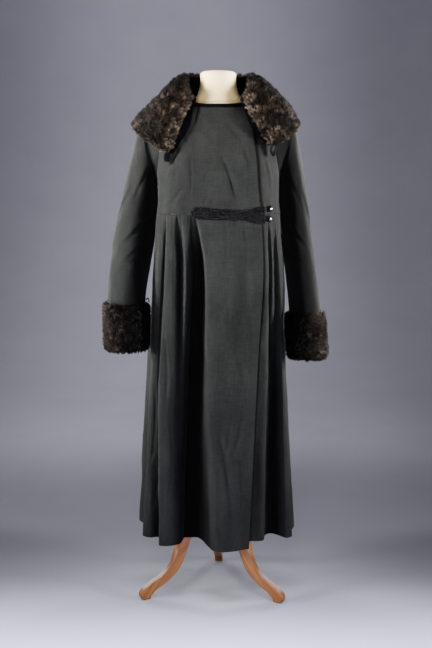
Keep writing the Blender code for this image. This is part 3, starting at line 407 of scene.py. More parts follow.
# Materials
class Look:
    """A material in the making, with its nodes and its shader."""

    def __init__(
        self, name, colour, roughness, specular=0.5, metallic=0.0, sheen=(0.0, 0.5), coat=(0.0, 0.3)
    ):
        self.material = bpy.data.materials.new(name)
        self.material.use_nodes = True
        self.tree = self.material.node_tree
        self.shader = self.tree.nodes["Principled BSDF"]
        values = {
            "Base Color": (*colour, 1.0),
            "Roughness": roughness,
            "Specular IOR Level": specular,
            "Metallic": metallic,
            "Sheen Weight": sheen[0],
            "Sheen Roughness": sheen[1],
            "Coat Weight": coat[0],
            "Coat Roughness": coat[1],
        }
        for socket, value in values.items():
            self.shader.inputs[socket].default_value = value

    def node(self, kind, inputs, output, **settings):
        """A new node: its settings, then its inputs as links or values. It gives back one of its outputs."""
        made = self.tree.nodes.new(f"ShaderNode{kind}")
        for key, value in settings.items():
            setattr(made, key, value)
        for socket, value in inputs.items():
            if isinstance(value, bpy.types.NodeSocket):
                self.tree.links.new(value, made.inputs[socket])
            else:
                made.inputs[socket].default_value = value
        return made.outputs[output]

    def place(self):
        return self.node("TexCoord", {}, "Object")

    def axes(self, vector):
        x = self.node("SeparateXYZ", {"Vector": vector}, "X")
        return x, x.node.outputs["Y"]

    def math(self, operation, *values):
        return self.node("Math", dict(enumerate(values)), "Value", operation=operation)

    def noise(self, at, scale, detail=4.0, roughness=0.55, stretch=None):
        if stretch:
            at = self.node("Mapping", {"Vector": at, "Scale": stretch}, "Vector")
        inputs = {"Vector": at, "Scale": scale, "Detail": detail, "Roughness": roughness}
        return self.node("TexNoise", inputs, "Fac")

    def ramp(self, value, *stops):
        """A colour for each value, from stops of a place and a colour, or of a place and one grey."""
        colour = self.node("ValToRGB", {"Fac": value}, "Color")
        elements = colour.node.color_ramp.elements
        while len(elements) < len(stops):
            elements.new(0.5)
        for element, (position, tone) in zip(elements, stops):
            element.position = position
            element.color = (*tone, 1.0) if isinstance(tone, tuple) else (tone, tone, tone, 1.0)
        return colour

    def times(self, one, two, factor=1.0):
        inputs = {"Factor": factor, "A": one, "B": two}
        return self.node("Mix", inputs, "Result", data_type="RGBA", blend_type="MULTIPLY")

    def with_painted_shade(self, colour, *stops):
        """The colour scaled by the painted shade kept on each point: darker in painted shade, lighter in
        painted highlight.
        """
        depth = self.node("Attribute", {}, "Fac", attribute_name="painted_shade")
        return self.times(colour, self.ramp(depth, *stops))

    def finish(self, colour, height=None, strength=0.0, distance=0.0):
        """Links the colour and the fine relief to the shader."""
        self.tree.links.new(colour, self.shader.inputs["Base Color"])
        if height is not None:
            inputs = {"Height": height, "Strength": strength, "Distance": distance}
            self.tree.links.new(self.node("Bump", inputs, "Normal"), self.shader.inputs["Normal"])
        return self.material


def wool_material():
    look = Look("wool", (0.02, 0.021, 0.02), 0.95, 0.06, sheen=(0.01, 0.6))
    place = look.place()
    cloud = look.noise(place, 11.0, 5.0, stretch=(1.0, 1.0, 0.4))
    slub = look.noise(place, 210.0, 3.0, 0.65, stretch=(1.0, 1.0, 0.16))
    weft = look.noise(place, 230.0, 3.0, 0.65, stretch=(0.16, 0.16, 1.0))
    threads = look.math("ADD", slub, weft)
    mixed = look.math("MULTIPLY_ADD", threads, 0.30, look.math("MULTIPLY", cloud, 0.40))
    tone = look.ramp(mixed, (0.36, (0.0041, 0.0045, 0.0041)), (0.64, (0.0130, 0.0140, 0.0127)))
    # Painted highlight on ridges; painted shade in folds and troughs, along the overlap's edge and on the
    # sleeves' inner halves
    tone = look.with_painted_shade(tone, (0.0, 1.45), (UNSHADED, 1.0), (1.0, 0.05))
    return look.finish(tone, threads, 0.55, 0.0009)


def velvet_material():
    look = Look("velvet", (0.002, 0.002, 0.003), 0.9, 0.01, sheen=(0.003, 0.4))
    nap = look.noise(look.place(), 60.0)
    tone = look.ramp(nap, (0.35, (0.0008, 0.0008, 0.0010)), (0.75, (0.0028, 0.0028, 0.0034)))
    return look.finish(tone, look.noise(look.place(), 1400.0, 2.0), 0.3, 0.0004)


def cord_material(name, low, high, grain=900.0):
    look = Look(name, high, 0.6, 0.04)
    strand = look.noise(look.place(), grain, 3.0, 0.6)
    return look.finish(look.ramp(strand, (0.40, low), (0.62, high)), strand, 0.4, 0.0004)


def hair_material():
    """Each hair has one tone, is darkest at its root, and carries painted shade where the fur is turned away
    from the lights.
    """
    look = Look("fur", (0.03, 0.02, 0.014), 0.6, 0.10)
    tone, along = look.axes(look.node("UVMap", {}, "UV", uv_map="hair"))
    body = look.ramp(
        tone,
        (0.00, (0.0015, 0.0011, 0.0009)),
        (0.28, (0.0055, 0.0042, 0.0034)),
        (0.50, (0.0250, 0.0160, 0.0105)),
        (0.72, (0.0740, 0.0530, 0.0380)),
        (1.00, (0.3000, 0.2450, 0.1950)),
    )
    # Darkest at the root: partly the hair's own darker base, partly painted shade deep in the pile
    depth = look.ramp(
        along,
        (0.00, 0.05),
        (0.25, (0.42, 0.41, 0.40)),
        (0.65, (1.10, 1.08, 1.06)),
        (1.00, (1.50, 1.45, 1.40)),
    )
    # Painted shade where the fur is turned from the lights
    return look.finish(look.with_painted_shade(look.times(body, depth), (0.0, 1.0), (1.0, 0.03)))


def skin_material():
    look = Look("fur_ground", (0.008, 0.005, 0.004), 0.95, 0.1)
    blotch = look.noise(look.place(), 120.0)
    tone = look.ramp(blotch, (0.3, (0.004, 0.003, 0.002)), (0.8, (0.018, 0.011, 0.008)))
    return look.finish(tone, blotch, 0.6, 0.002)


def jersey_material():
    look = Look("jersey", (0.85, 0.78, 0.58), 0.9)
    stain = look.noise(look.place(), 14.0)
    tone = look.ramp(stain, (0.3, (0.76, 0.57, 0.24)), (0.75, (0.88, 0.71, 0.37)))
    # Painted shade at the foot of the neck, on its sides and in its creases
    tone = look.with_painted_shade(tone, (0.0, 1.0), (1.0, (0.07, 0.05, 0.035)))
    inputs = {"Vector": look.place(), "Scale": 330.0, "Distortion": 1.0}
    knit = look.node("TexWave", inputs, "Fac", bands_direction="Z")
    return look.finish(tone, knit, 0.25, 0.0003)


def silver_material():
    look = Look("silver", (0.80, 0.79, 0.76), 0.18, metallic=1.0)
    tarnish = look.noise(look.place(), 400.0, 3.0)
    return look.finish(look.ramp(tarnish, (0.35, (0.55, 0.53, 0.49)), (0.7, (0.86, 0.85, 0.83))))


def wood_material():
    look = Look("wood", (0.36, 0.15, 0.05), 0.48, coat=(0.04, 0.35))
    uv = look.node("UVMap", {}, "UV", uv_map="grain")
    grain = look.noise(uv, 1.0, 6.0, 0.6, stretch=(4.0, 70.0, 1.0))
    pore = look.noise(uv, 1.0, 3.0, 0.6, stretch=(30.0, 700.0, 1.0))
    tone = look.ramp(
        grain,
        (0.30, (0.130, 0.040, 0.007)),
        (0.50, (0.270, 0.093, 0.016)),
        (0.72, (0.430, 0.180, 0.040)),
    )
    pores = look.ramp(pore, (0.35, (0.55, 0.5, 0.45)), (0.6, 1.0))
    return look.finish(look.times(tone, pores, 0.35), pore, 0.08, 0.0003)


BLACK = (0.0003, 0.0003, 0.0004)
MATERIAL = {
    "wool": wool_material(),
    "velvet": velvet_material(),
    "braid": cord_material("braid", BLACK, (0.0088, 0.0088, 0.0098), 240.0),
    "braid_core": cord_material("braid_core", BLACK, (0.0008, 0.0008, 0.0010)),
    "cord": cord_material("cord", (0.0002, 0.0002, 0.0003), (0.0010, 0.0010, 0.0013)),
    "fur": hair_material(),
    "fur_ground": skin_material(),
    "jersey": jersey_material(),
    "silver": silver_material(),
    "wood": wood_material(),
}


def piece(obj, look, nodes=()):
    """Gives an object its material, and lets it ride the part in place of its CAD nodes."""
    obj.data.materials.append(MATERIAL[look])
    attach(obj, "root")
    if nodes:
        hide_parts(*nodes)
    return obj


def add_object(name, data):
    """A new object, linked to the scene."""
    obj = bpy.data.objects.new(name, data)
    bpy.context.scene.collection.objects.link(obj)
    return obj


def mesh_object(name, points, faces, look, nodes=(), sharp=None):
    """A smooth mesh round the neck's axis, with edges kept sharp above an angle in degrees."""
    mesh = bpy.data.meshes.new(name)
    mesh.from_pydata((np.asarray(points).reshape(-1, 3) + ORIGIN).tolist(), [], faces)
    mesh.shade_smooth()
    if sharp:
        mesh.set_sharp_from_angle(angle=np.radians(sharp))
    return piece(add_object(name, mesh), look, nodes)


def store_painted_shade(mesh, values):
    """Keeps the painted shade of each point, which the materials read."""
    layer = mesh.attributes.new("painted_shade", "FLOAT", "POINT")
    layer.data.foreach_set("value", np.asarray(values, np.float32).ravel())


def grid_faces(rows, columns, closed):
    """Quads between the points of a grid."""
    r, c = np.meshgrid(np.arange(rows - 1), np.arange(columns if closed else columns - 1), indexing="ij")
    r, c = r.ravel() * columns, c.ravel()
    d = (c + 1) % columns
    return np.stack([r + c, r + d, r + columns + d, r + columns + c], axis=1)


def capped_faces(rows, columns):
    """Faces of a tube of rings with both of its ends filled."""
    ends = [list(range(columns))[::-1], list(range((rows - 1) * columns, rows * columns))]
    return grid_faces(rows, columns, True).tolist() + ends


# Cloth shells
def shell_faces(rows, columns, closed):
    """Quads of a wall between two grids of points: both sides and the edges."""
    count = rows * columns
    out = grid_faces(rows, columns, closed)
    faces = [out, out[:, ::-1] + count]
    c = np.arange(columns if closed else columns - 1)
    d = (c + 1) % columns
    top = (rows - 1) * columns
    faces.append(np.stack([d, c, count + c, count + d], axis=1))
    faces.append(np.stack([top + c, top + d, count + top + d, count + top + c], axis=1))
    if not closed:
        low = np.arange(rows - 1) * columns
        high = low + columns
        faces.append(np.stack([low, high, count + high, count + low], axis=1))
        low, high = low + columns - 1, high + columns - 1
        faces.append(np.stack([high, low, count + low, count + high], axis=1))
    return np.concatenate(faces).tolist()


def shell(name, outer, inner, look, nodes=(), closed=False):
    points = np.concatenate([outer.reshape(-1, 3), inner.reshape(-1, 3)])
    return mesh_object(name, points, shell_faces(*outer.shape[:2], closed), look, nodes, sharp=60)


def declare_cloth(grid, closed=False):
    """Closes the grid of a closed cloth piece, and does nothing more with it."""
    if closed:
        grid = np.concatenate([grid, grid[:, :1]], axis=1)


def ripple(u, v, seed, count=7):
    """A smooth uneven field between about -1 and 1."""
    chance = np.random.RandomState(seed)
    total = np.zeros(np.broadcast(u, v).shape)
    for _ in range(count):
        a, b = chance.uniform(0.5, 1.5), chance.uniform(0.4, 1.6)
        sign = chance.choice([-1.0, 1.0])
        total += np.sin(a * u + sign * b * v + chance.uniform(0, 2 * np.pi))
    return total / np.sqrt(count * 1.2)


def handle(points, seed, wavelength, stretch=2.2, count=26):
    """The cloth's uneven handle: short waves in many directions, longer up the cloth than across it."""
    chance = np.random.RandomState(seed)
    total = np.zeros(points.shape[:-1])
    for _ in range(count):
        way = chance.normal(0, 1, 3) * np.array([1.0, 1.0, 1.0 / stretch])
        way /= np.linalg.norm(way * np.array([1.0, 1.0, stretch]))
        rate = 2 * np.pi / (wavelength * chance.uniform(0.6, 1.6))
        total += np.sin(points @ way * rate + chance.uniform(0, 2 * np.pi))
    return total / np.sqrt(count / 2)


def depth_in_outline(row):
    """How far inside the convex outline of a row of points, seen from above, each of them lies."""
    order = row[np.lexsort((row[:, 1], row[:, 0]))]
    outline = []
    for points in (order, order[::-1]):
        chain = []
        for point in points:
            while len(chain) > 1:
                one, two = chain[-1] - chain[-2], point - chain[-2]
                if one[0] * two[1] - one[1] * two[0] > 0:
                    break
                chain.pop()
            chain.append(point)
        outline += chain[:-1]
    outline = np.array(outline)
    along = np.roll(outline, -1, axis=0) - outline
    along /= np.maximum(np.linalg.norm(along, axis=1, keepdims=True), 1e-9)
    off = row[:, None] - outline[None]
    return (off[..., 1] * along[:, 0] - off[..., 0] * along[:, 1]).min(axis=1)


def write_cloth_shade(obj, depth, relief):
    """Keeps, for the wool's colour, the painted shade of each point: painted shade deep in folds and troughs,
    painted highlight on ridges.
    """
    ridge_light = np.clip(relief / RELIEF_HEIGHT, -2.0, 1.0) * (1 - depth)
    value = np.clip(UNSHADED + (1 - UNSHADED) * depth - RIDGE_PAINTED_LIGHT * ridge_light, 0, 1)
    store_painted_shade(obj.data, np.tile(value.ravel(), 2))


CREASE_WIDTH = 0.62
CREASE_BEND = 0.036
CREASE_RIDGE = 0.55


def crease_depth(x, z, rows):
    """Depth of soft creases drawn as straight strokes on a panel seen from its own side."""
    depth = np.zeros(x.shape)
    for x0, z0, x1, z1, width, deep in rows:
        length = np.hypot(x1 - x0, z1 - z0)
        along_x, along_z = (x1 - x0) / length, (z1 - z0) / length
        share = ((x - x0) * along_x + (z - z0) * along_z) / length
        off = (z - z0) * along_x - (x - x0) * along_z
        off = off - CREASE_BEND * length * np.sin(np.pi * np.clip(share, 0, 1))
        inside = smoothstep(-0.15, 0.25, share) * (1 - smoothstep(0.7, 1.15, share))
        width = CREASE_WIDTH * width
        trough = np.exp(-((off / width) ** 2))
        ridge = CREASE_RIDGE * np.exp(-(((off - 2.0 * width) / (1.3 * width)) ** 2))
        depth += deep * inside * (trough - ridge)
    return depth


# Bodice
BODICE_CREASES = (
    # x0, z0, x1, z1, width, depth
    (-0.0520, 1.400, -0.0630, 1.345, 0.0046, 0.0040),
    (-0.1050, 1.270, -0.1450, 1.215, 0.0080, 0.0022),
    (-0.0900, 1.180, -0.1400, 1.120, 0.0090, 0.0018),
    (-0.1200, 1.320, -0.1080, 1.240, 0.0080, 0.0016),
    (0.0080, 1.250, 0.0420, 1.160, 0.0070, 0.0026),
    (0.0240, 1.200, 0.0480, 1.135, 0.0060, 0.0018),
    (0.0600, 1.290, 0.0820, 1.200, 0.0080, 0.0018),
    (-0.0800, 1.260, -0.0760, 1.140, 0.0050, 0.0014),
    (-0.0300, 1.160, -0.0450, 1.115, 0.0060, 0.0014),
    (0.0200, 1.340, 0.0700, 1.290, 0.0100, 0.0018),
    (-0.0500, 1.330, -0.0100, 1.290, 0.0110, 0.0014),
    (0.1250, 1.250, 0.1420, 1.160, 0.0060, 0.0016),
)


def bodice_rows():
    """Levels from the waist to the neckline, closer together beside the armholes."""
    below = np.linspace(0, ARMHOLE_FOOT, 17)[:-1]
    beside = ARMHOLE_MIDDLE - ARMHOLE_HALF * np.cos(np.linspace(0, np.pi, 41))
    above = np.linspace(ARMHOLE_TOP, 7.0, 15)[1:]
    return np.concatenate([below, beside, above])


def make_bodice_panel(name, start, end, sides, seed, inset=False, front=True):
    """A panel from one turn to another, its columns drawn aside round the armholes."""
    levels = bodice_rows()
    first = np.array([start(level) for level in levels])
    last = np.array([end(level) for level in levels])
    hole = np.array([armhole_half_angle(level) for level in levels])
    columns = int(np.max(last - first) / BODICE_COLUMN)
    share = np.linspace(0, 1, columns)
    turns = first[:, None] + (last - first)[:, None] * share
    if sides[0]:
        turns = turns + hole[:, None] * (1 - share) ** 2
    if sides[1]:
        turns = turns - hole[:, None] * share**2
    heights = np.broadcast_to(levels[:, None], turns.shape)
    grid = body_point(turns, heights)
    normal = body_normal(turns, heights)
    drop = underlap_inset(turns) if inset else np.zeros(turns.shape)
    calm = smoothstep(1.395, 1.34, grid[..., 2])
    relief = 0.0005 * ripple(grid[..., 0] * 34, grid[..., 2] * 26, seed)
    relief = (relief + 0.00040 * handle(grid, seed, 0.055) + 0.00016 * handle(grid, seed + 1, 0.018)) * calm
    if front:
        relief = relief - crease_depth(grid[..., 0], grid[..., 2], BODICE_CREASES)
    else:
        relief = relief + 0.0008 * ripple(grid[..., 0] * 50, grid[..., 2] * 20, seed + 3) * calm
    edge = np.minimum(1.0, np.minimum(share, 1 - share)[None, :] * 12)
    relief = np.minimum(relief * edge, 0.0009) - 0.0002
    grid = grid + normal * (relief - drop)[..., None]
    grid[0, :, 2] += SEAM
    obj = shell(name, grid, grid - normal * SHELL, "wool", [name.replace("cloth_", "")])
    # Painted shadow of the right front's edge on the left front that lies under it
    overlap_shadow = np.zeros(turns.shape)
    if inset:
        edge = np.array([overlap_edge(level) for level in levels])[:, None]
        overlap_shadow = 1 - smoothstep(edge + 2.7, edge + 4.2, turns)
    write_cloth_shade(obj, overlap_shadow, relief)
    declare_cloth(grid)


def make_bodice():
    right_seam, left_seam = (lambda v: -90 + seam_turn(v)), (lambda v: 90 - seam_turn(v))
    back_start, back_end = (lambda v: 90 + seam_turn(v)), (lambda v: 270 - seam_turn(v))
    hidden_edge = lambda v: UNDERLAP_EDGE
    make_bodice_panel("cloth_bodice_front_right", right_seam, overlap_edge, (True, False), 11)
    make_bodice_panel("cloth_bodice_front_left", hidden_edge, left_seam, (False, True), 12, inset=True)
    make_bodice_panel("cloth_bodice_back", back_start, back_end, (True, True), 13, front=False)


# Skirt
# How far inside the outline the painted shade of a fold starts, and where it is darkest
FOLD_SHADE_DEPTHS = (0.006, 0.034)
SKIRT_CREASES = (
    # x0, z0, x1, z1, width, depth
    (0.0640, 1.078, 0.0740, 0.950, 0.0060, 0.0024),
    (0.0800, 1.000, 0.1050, 0.860, 0.0060, 0.0026),
    (0.0150, 1.060, 0.0200, 0.980, 0.0070, 0.0016),
    (0.0700, 0.900, 0.0860, 0.740, 0.0070, 0.0020),
    (0.0250, 0.860, 0.0100, 0.720, 0.0080, 0.0014),
    (0.0350, 0.760, 0.0620, 0.640, 0.0080, 0.0018),
    (0.0600, 0.560, 0.0350, 0.440, 0.0070, 0.0026),
    (0.0000, 0.500, 0.0250, 0.330, 0.0080, 0.0030),
    (0.0300, 0.540, 0.0120, 0.420, 0.0060, 0.0022),
    (0.0480, 0.460, 0.0580, 0.280, 0.0070, 0.0026),
    (0.0180, 0.400, 0.0320, 0.240, 0.0060, 0.0022),
    (-0.1300, 0.500, -0.1420, 0.300, 0.0080, 0.0018),
    (-0.1500, 0.760, -0.1480, 0.560, 0.0070, 0.0016),
    (-0.1800, 0.620, -0.1950, 0.380, 0.0070, 0.0022),
    (-0.1750, 0.440, -0.1980, 0.400, 0.0060, 0.0026),
    (-0.1700, 0.360, -0.1950, 0.250, 0.0070, 0.0018),
    (-0.0850, 0.980, -0.0900, 0.820, 0.0050, 0.0012),
)


TUCK_WIDTH = 0.0105
TUCK_HEIGHT = 0.0011


def make_skirt_panel(name, folds, steps, start_seam, end_seam, seed, gather, front):
    keys = np.array(FOLD_KEYS)[::-1]
    levels = WAIST_Z - (WAIST_Z - HEM_Z) * np.linspace(1, 0, 132) ** 1.12
    lines = through(keys, folds[::-1], levels)
    count = lines.shape[1]
    places = np.linspace(0, count - 1, (count - 1) * steps + 1)
    rows = []
    for z, line in zip(levels, lines):
        row = through(np.arange(count), line, places)
        rows.append(np.column_stack([row, np.full(len(row), z)]))
    grid = np.array(rows)
    normal = grid_normals(grid)
    arc = np.concatenate([[0], np.cumsum(np.linalg.norm(np.diff(grid[-1], axis=0), axis=1))])
    z = grid[..., 2]
    below = WAIST_Z - z
    relief = 0.0009 * ripple(arc[None, :] * 60, z * 9, seed) * smoothstep(0.0, 0.06, below)
    relief = relief + 0.0010 * ripple(arc[None, :] * 120, z * 5, seed + 5) * smoothstep(0.02, 0.2, below)
    relief = relief + 0.00100 * handle(grid, seed, 0.060, 2.6) * smoothstep(0.0, 0.1, below)
    relief = relief + 0.00024 * handle(grid, seed + 1, 0.024, 2.0)
    strength = np.clip(0.5 + 0.5 * ripple(arc[None, :] * 300, z * 2, seed + 9, 3), 0.2, 1.2)
    tuck = np.sin(arc * 2 * np.pi / TUCK_WIDTH + 1.4 * np.sin(arc * 90)) * strength
    fade = smoothstep(0.0, 0.010, below) * (1 - smoothstep(0.02, 0.085, below))
    relief = relief + TUCK_HEIGHT * tuck * fade * gather(grid[-1, :, 0])[None, :]
    if front:
        relief = relief - crease_depth(grid[..., 0], z, SKIRT_CREASES)
    share = np.linspace(0, 1, len(places))
    edge = np.minimum(1.0, np.minimum(share, 1 - share)[None, :] * 25)
    relief = np.clip(relief * edge, -0.004, 0.0014) - 0.0002
    for end, neighbour, seam in ((0, 1, start_seam), (-1, -2, end_seam)):
        if not seam:
            continue
        outward = grid[:, end] * np.array([1.0, 1.0, 0.0])
        normal[:, end] = outward / np.linalg.norm(outward, axis=-1, keepdims=True)
        step = grid[:, neighbour] - grid[:, end]
        grid[:, end] += step / np.linalg.norm(step, axis=-1, keepdims=True) * SEAM
    normal[-1, :, 2] = 0
    normal[-1] /= np.linalg.norm(normal[-1], axis=-1, keepdims=True)
    grid = grid + normal * relief[..., None]
    grid[-1, :, 2] -= SEAM
    grid[0, :, 2] += 0.0012 * ripple(arc * 40, arc * 0, seed + 2)
    obj = shell(name, grid, grid - normal * SHELL, "wool", [name.replace("cloth_", "")])
    # Painted shade deep in the folds, by how far inside the row's outline each point lies
    depth = np.array([depth_in_outline(row[:, :2]) for row in grid])
    depth = smoothstep(*FOLD_SHADE_DEPTHS, depth)
    # Painted shadow along the edge of the right front, which laps over this panel
    if name == "cloth_skirt_front_left":
        edge = through(keys, fold_levels(RIGHT_FRONT_FOLDS)[::-1, 0, 0], levels)[:, None]
        depth = np.maximum(depth, 1 - smoothstep(edge + 0.003, edge + 0.008, grid[..., 0]))
    write_cloth_shade(obj, depth, relief)
    declare_cloth(grid)


def make_skirt():
    right = fold_levels(RIGHT_FRONT_FOLDS)[:, ::-1]
    left = fold_levels(LEFT_FRONT_FOLDS, UNDERLAP_DROP)
    off_panel = lambda x: 1 - smoothstep(-0.060, -0.045, x)
    off_strip = lambda x: smoothstep(0.128, 0.140, x)
    all_round = lambda x: np.ones(x.shape)
    make_skirt_panel("cloth_skirt_front_right", right, 10, True, False, 21, off_panel, True)
    make_skirt_panel("cloth_skirt_front_left", left, 10, False, True, 22, off_strip, True)
    make_skirt_panel("cloth_skirt_back", back_fold_levels(), 8, True, True, 23, all_round, False)


# Sleeves
SLEEVE_CREASES = (
    # side, around start, z start, around end, z end, width in metres, depth
    (-1, 40.0, 1.090, 120.0, 1.010, 0.0090, 0.0042),
    (-1, 35.0, 1.030, 110.0, 0.960, 0.0080, 0.0036),
    (-1, 60.0, 0.985, 130.0, 0.930, 0.0070, 0.0026),
    (-1, 70.0, 0.930, 140.0, 0.890, 0.0070, 0.0024),
    (-1, 60.0, 1.240, 110.0, 1.130, 0.0100, 0.0028),
    (-1, 120.0, 1.180, 160.0, 1.080, 0.0090, 0.0022),
    (1, 40.0, 1.075, 120.0, 0.995, 0.0090, 0.0038),
    (1, 35.0, 1.010, 110.0, 0.940, 0.0080, 0.0032),
    (1, 60.0, 0.960, 130.0, 0.905, 0.0070, 0.0024),
    (1, 70.0, 0.900, 140.0, 0.860, 0.0070, 0.0020),
    (1, 60.0, 1.220, 110.0, 1.120, 0.0100, 0.0026),
    (1, 120.0, 1.160, 160.0, 1.060, 0.0090, 0.0020),
)
INNER_SLEEVE_CREASES = (
    # around start, z start, around end, z end, width in metres, depth
    (70.0, 1.050, 120.0, 0.995, 0.0120, 0.0024),
    (60.0, 0.960, 110.0, 0.910, 0.0110, 0.0016),
)
METRES_A_DEGREE = 0.00125
# How much the painted shade on a sleeve's inner half lifts towards its lit outer half
SLEEVE_LIGHT = 0.80
SLEEVE_SHADE_SPANS = {
    # side: where the painted shade of the inner half starts to lift and where it is gone, as shares of the
    # way from inner to outer
    -1: (0.24, 0.58),
    1: (0.66, 1.00),
}


def sleeve_ring_grid(rows, side, around):
    middle = ARMHOLE_MIDDLE - ARMHOLE_HALF * np.cos(around)
    turn = side * (90 - ARMHOLE_HALF_ANGLE * np.sin(around))
    rings = [body_point(turn, middle) + body_normal(turn, middle) * SLEEVE_LIFT]
    for _, outer_x, outer_z, inner_x, inner_z, half_depth, centre_y in rows:
        outer = np.array([outer_x, 0, outer_z])
        inner = np.array([inner_x, 0, inner_z])
        centre = (outer + inner) / 2 + np.array([0, centre_y, 0])
        across = (outer - inner) / 2
        depth = np.array([0, -half_depth, 0])
        rings.append(centre - np.cos(around)[:, None] * across + np.sin(around)[:, None] * depth)
    return np.array(rings)[::-1]


def make_sleeve(name, rows, side, seed):
    around = np.linspace(0, 2 * np.pi, SLEEVE_AROUND, endpoint=False)
    rings = sleeve_ring_grid(rows, side, around)
    count = len(rings)
    places = np.concatenate([np.linspace(0, 4, 50)[:-1], np.linspace(4, count - 1, 60)])
    grid = through(np.arange(count), rings, places)
    along = np.roll(grid, -1, axis=1) - np.roll(grid, 1, axis=1)
    normal = unit(np.cross(along, np.gradient(grid, axis=0)) * side)
    degrees = np.degrees(around)[None, :] * np.ones((len(grid), 1))
    z = grid[..., 2]
    creases = np.array([row[1:] for row in SLEEVE_CREASES if row[0] == side])
    inner_creases = np.array(INNER_SLEEVE_CREASES)
    inner_creases[:, (0, 2)] = 360 - inner_creases[:, (0, 2)]
    creases = np.concatenate([creases, inner_creases])
    creases[:, (0, 2)] *= METRES_A_DEGREE
    outward = smoothstep(0.25, 0.75, (1 - np.cos(around)) / 2)[None, :]
    head = smoothstep(0.0, 0.12, np.linspace(1, 0, len(grid)))[:, None]
    relief = 0.0010 * ripple(np.sin(around)[None, :] * 3.0, z * 24, seed) * (0.35 + 0.65 * outward)
    relief = relief + 0.0009 * handle(grid, seed, 0.055, 1.4) * outward
    relief = relief + 0.00018 * handle(grid, seed + 1, 0.020) * outward
    relief = (relief - crease_depth(degrees * METRES_A_DEGREE, z, creases)) * head
    relief = np.clip(relief, -0.004, 0.0014) - 0.0003
    grid = grid + normal * relief[..., None]
    if side < 0:
        grid, normal = grid[:, ::-1], normal[:, ::-1]
    obj = shell(name, grid, grid - normal * SHELL, "wool", [name.replace("cloth_", "")], closed=True)
    # Painted shade on the sleeve's inner half, the half turned from the lights
    facing = (1 - np.cos(around)) / 2
    low, high = SLEEVE_SHADE_SPANS[side]
    inner = (1 - SLEEVE_LIGHT * smoothstep(low, high, facing)) * np.ones((len(grid), 1))
    if side < 0:
        inner, relief = inner[:, ::-1], relief[:, ::-1]
    write_cloth_shade(obj, inner, relief)
    declare_cloth(grid, closed=True)


# Fur
def sleeve_section(rows, z):
    """Middle and half sizes of the lower sleeve at each of the heights."""
    table = np.array([row[1:] for row in rows[6:]])[::-1]
    heights = (table[:, 1] + table[:, 3]) / 2
    outer_x, inner_x, half_depth, centre_y = (np.interp(z, heights, table[:, c]) for c in (0, 2, 4, 5))
    return (outer_x + inner_x) / 2, np.abs(outer_x - inner_x) / 2, half_depth, centre_y


def outside_body(points, gap):
    """Points moved out from the neck's axis where they are nearer to the bodice than the gap."""
    flat = points.reshape(-1, 3).copy()
    turns = np.degrees(np.arctan2(flat[:, 0], -flat[:, 1]))
    levels = np.linspace(3.0, 7.0, 33)
    around, up = np.meshgrid(turns, levels, indexing="ij")
    body = body_point(around, up) + body_normal(around, up) * gap
    for point, profile in zip(flat, body):
        reach = np.hypot(point[0], point[1])
        least = np.interp(point[2], profile[:, 2], np.hypot(profile[:, 0], profile[:, 1]), right=0.0)
        point[:2] *= max(reach, least) / reach
    return flat.reshape(points.shape)


HAIRS_A_TUFT = 80
HAIR_HALF_WIDTHS = (0.00024, 0.00050)


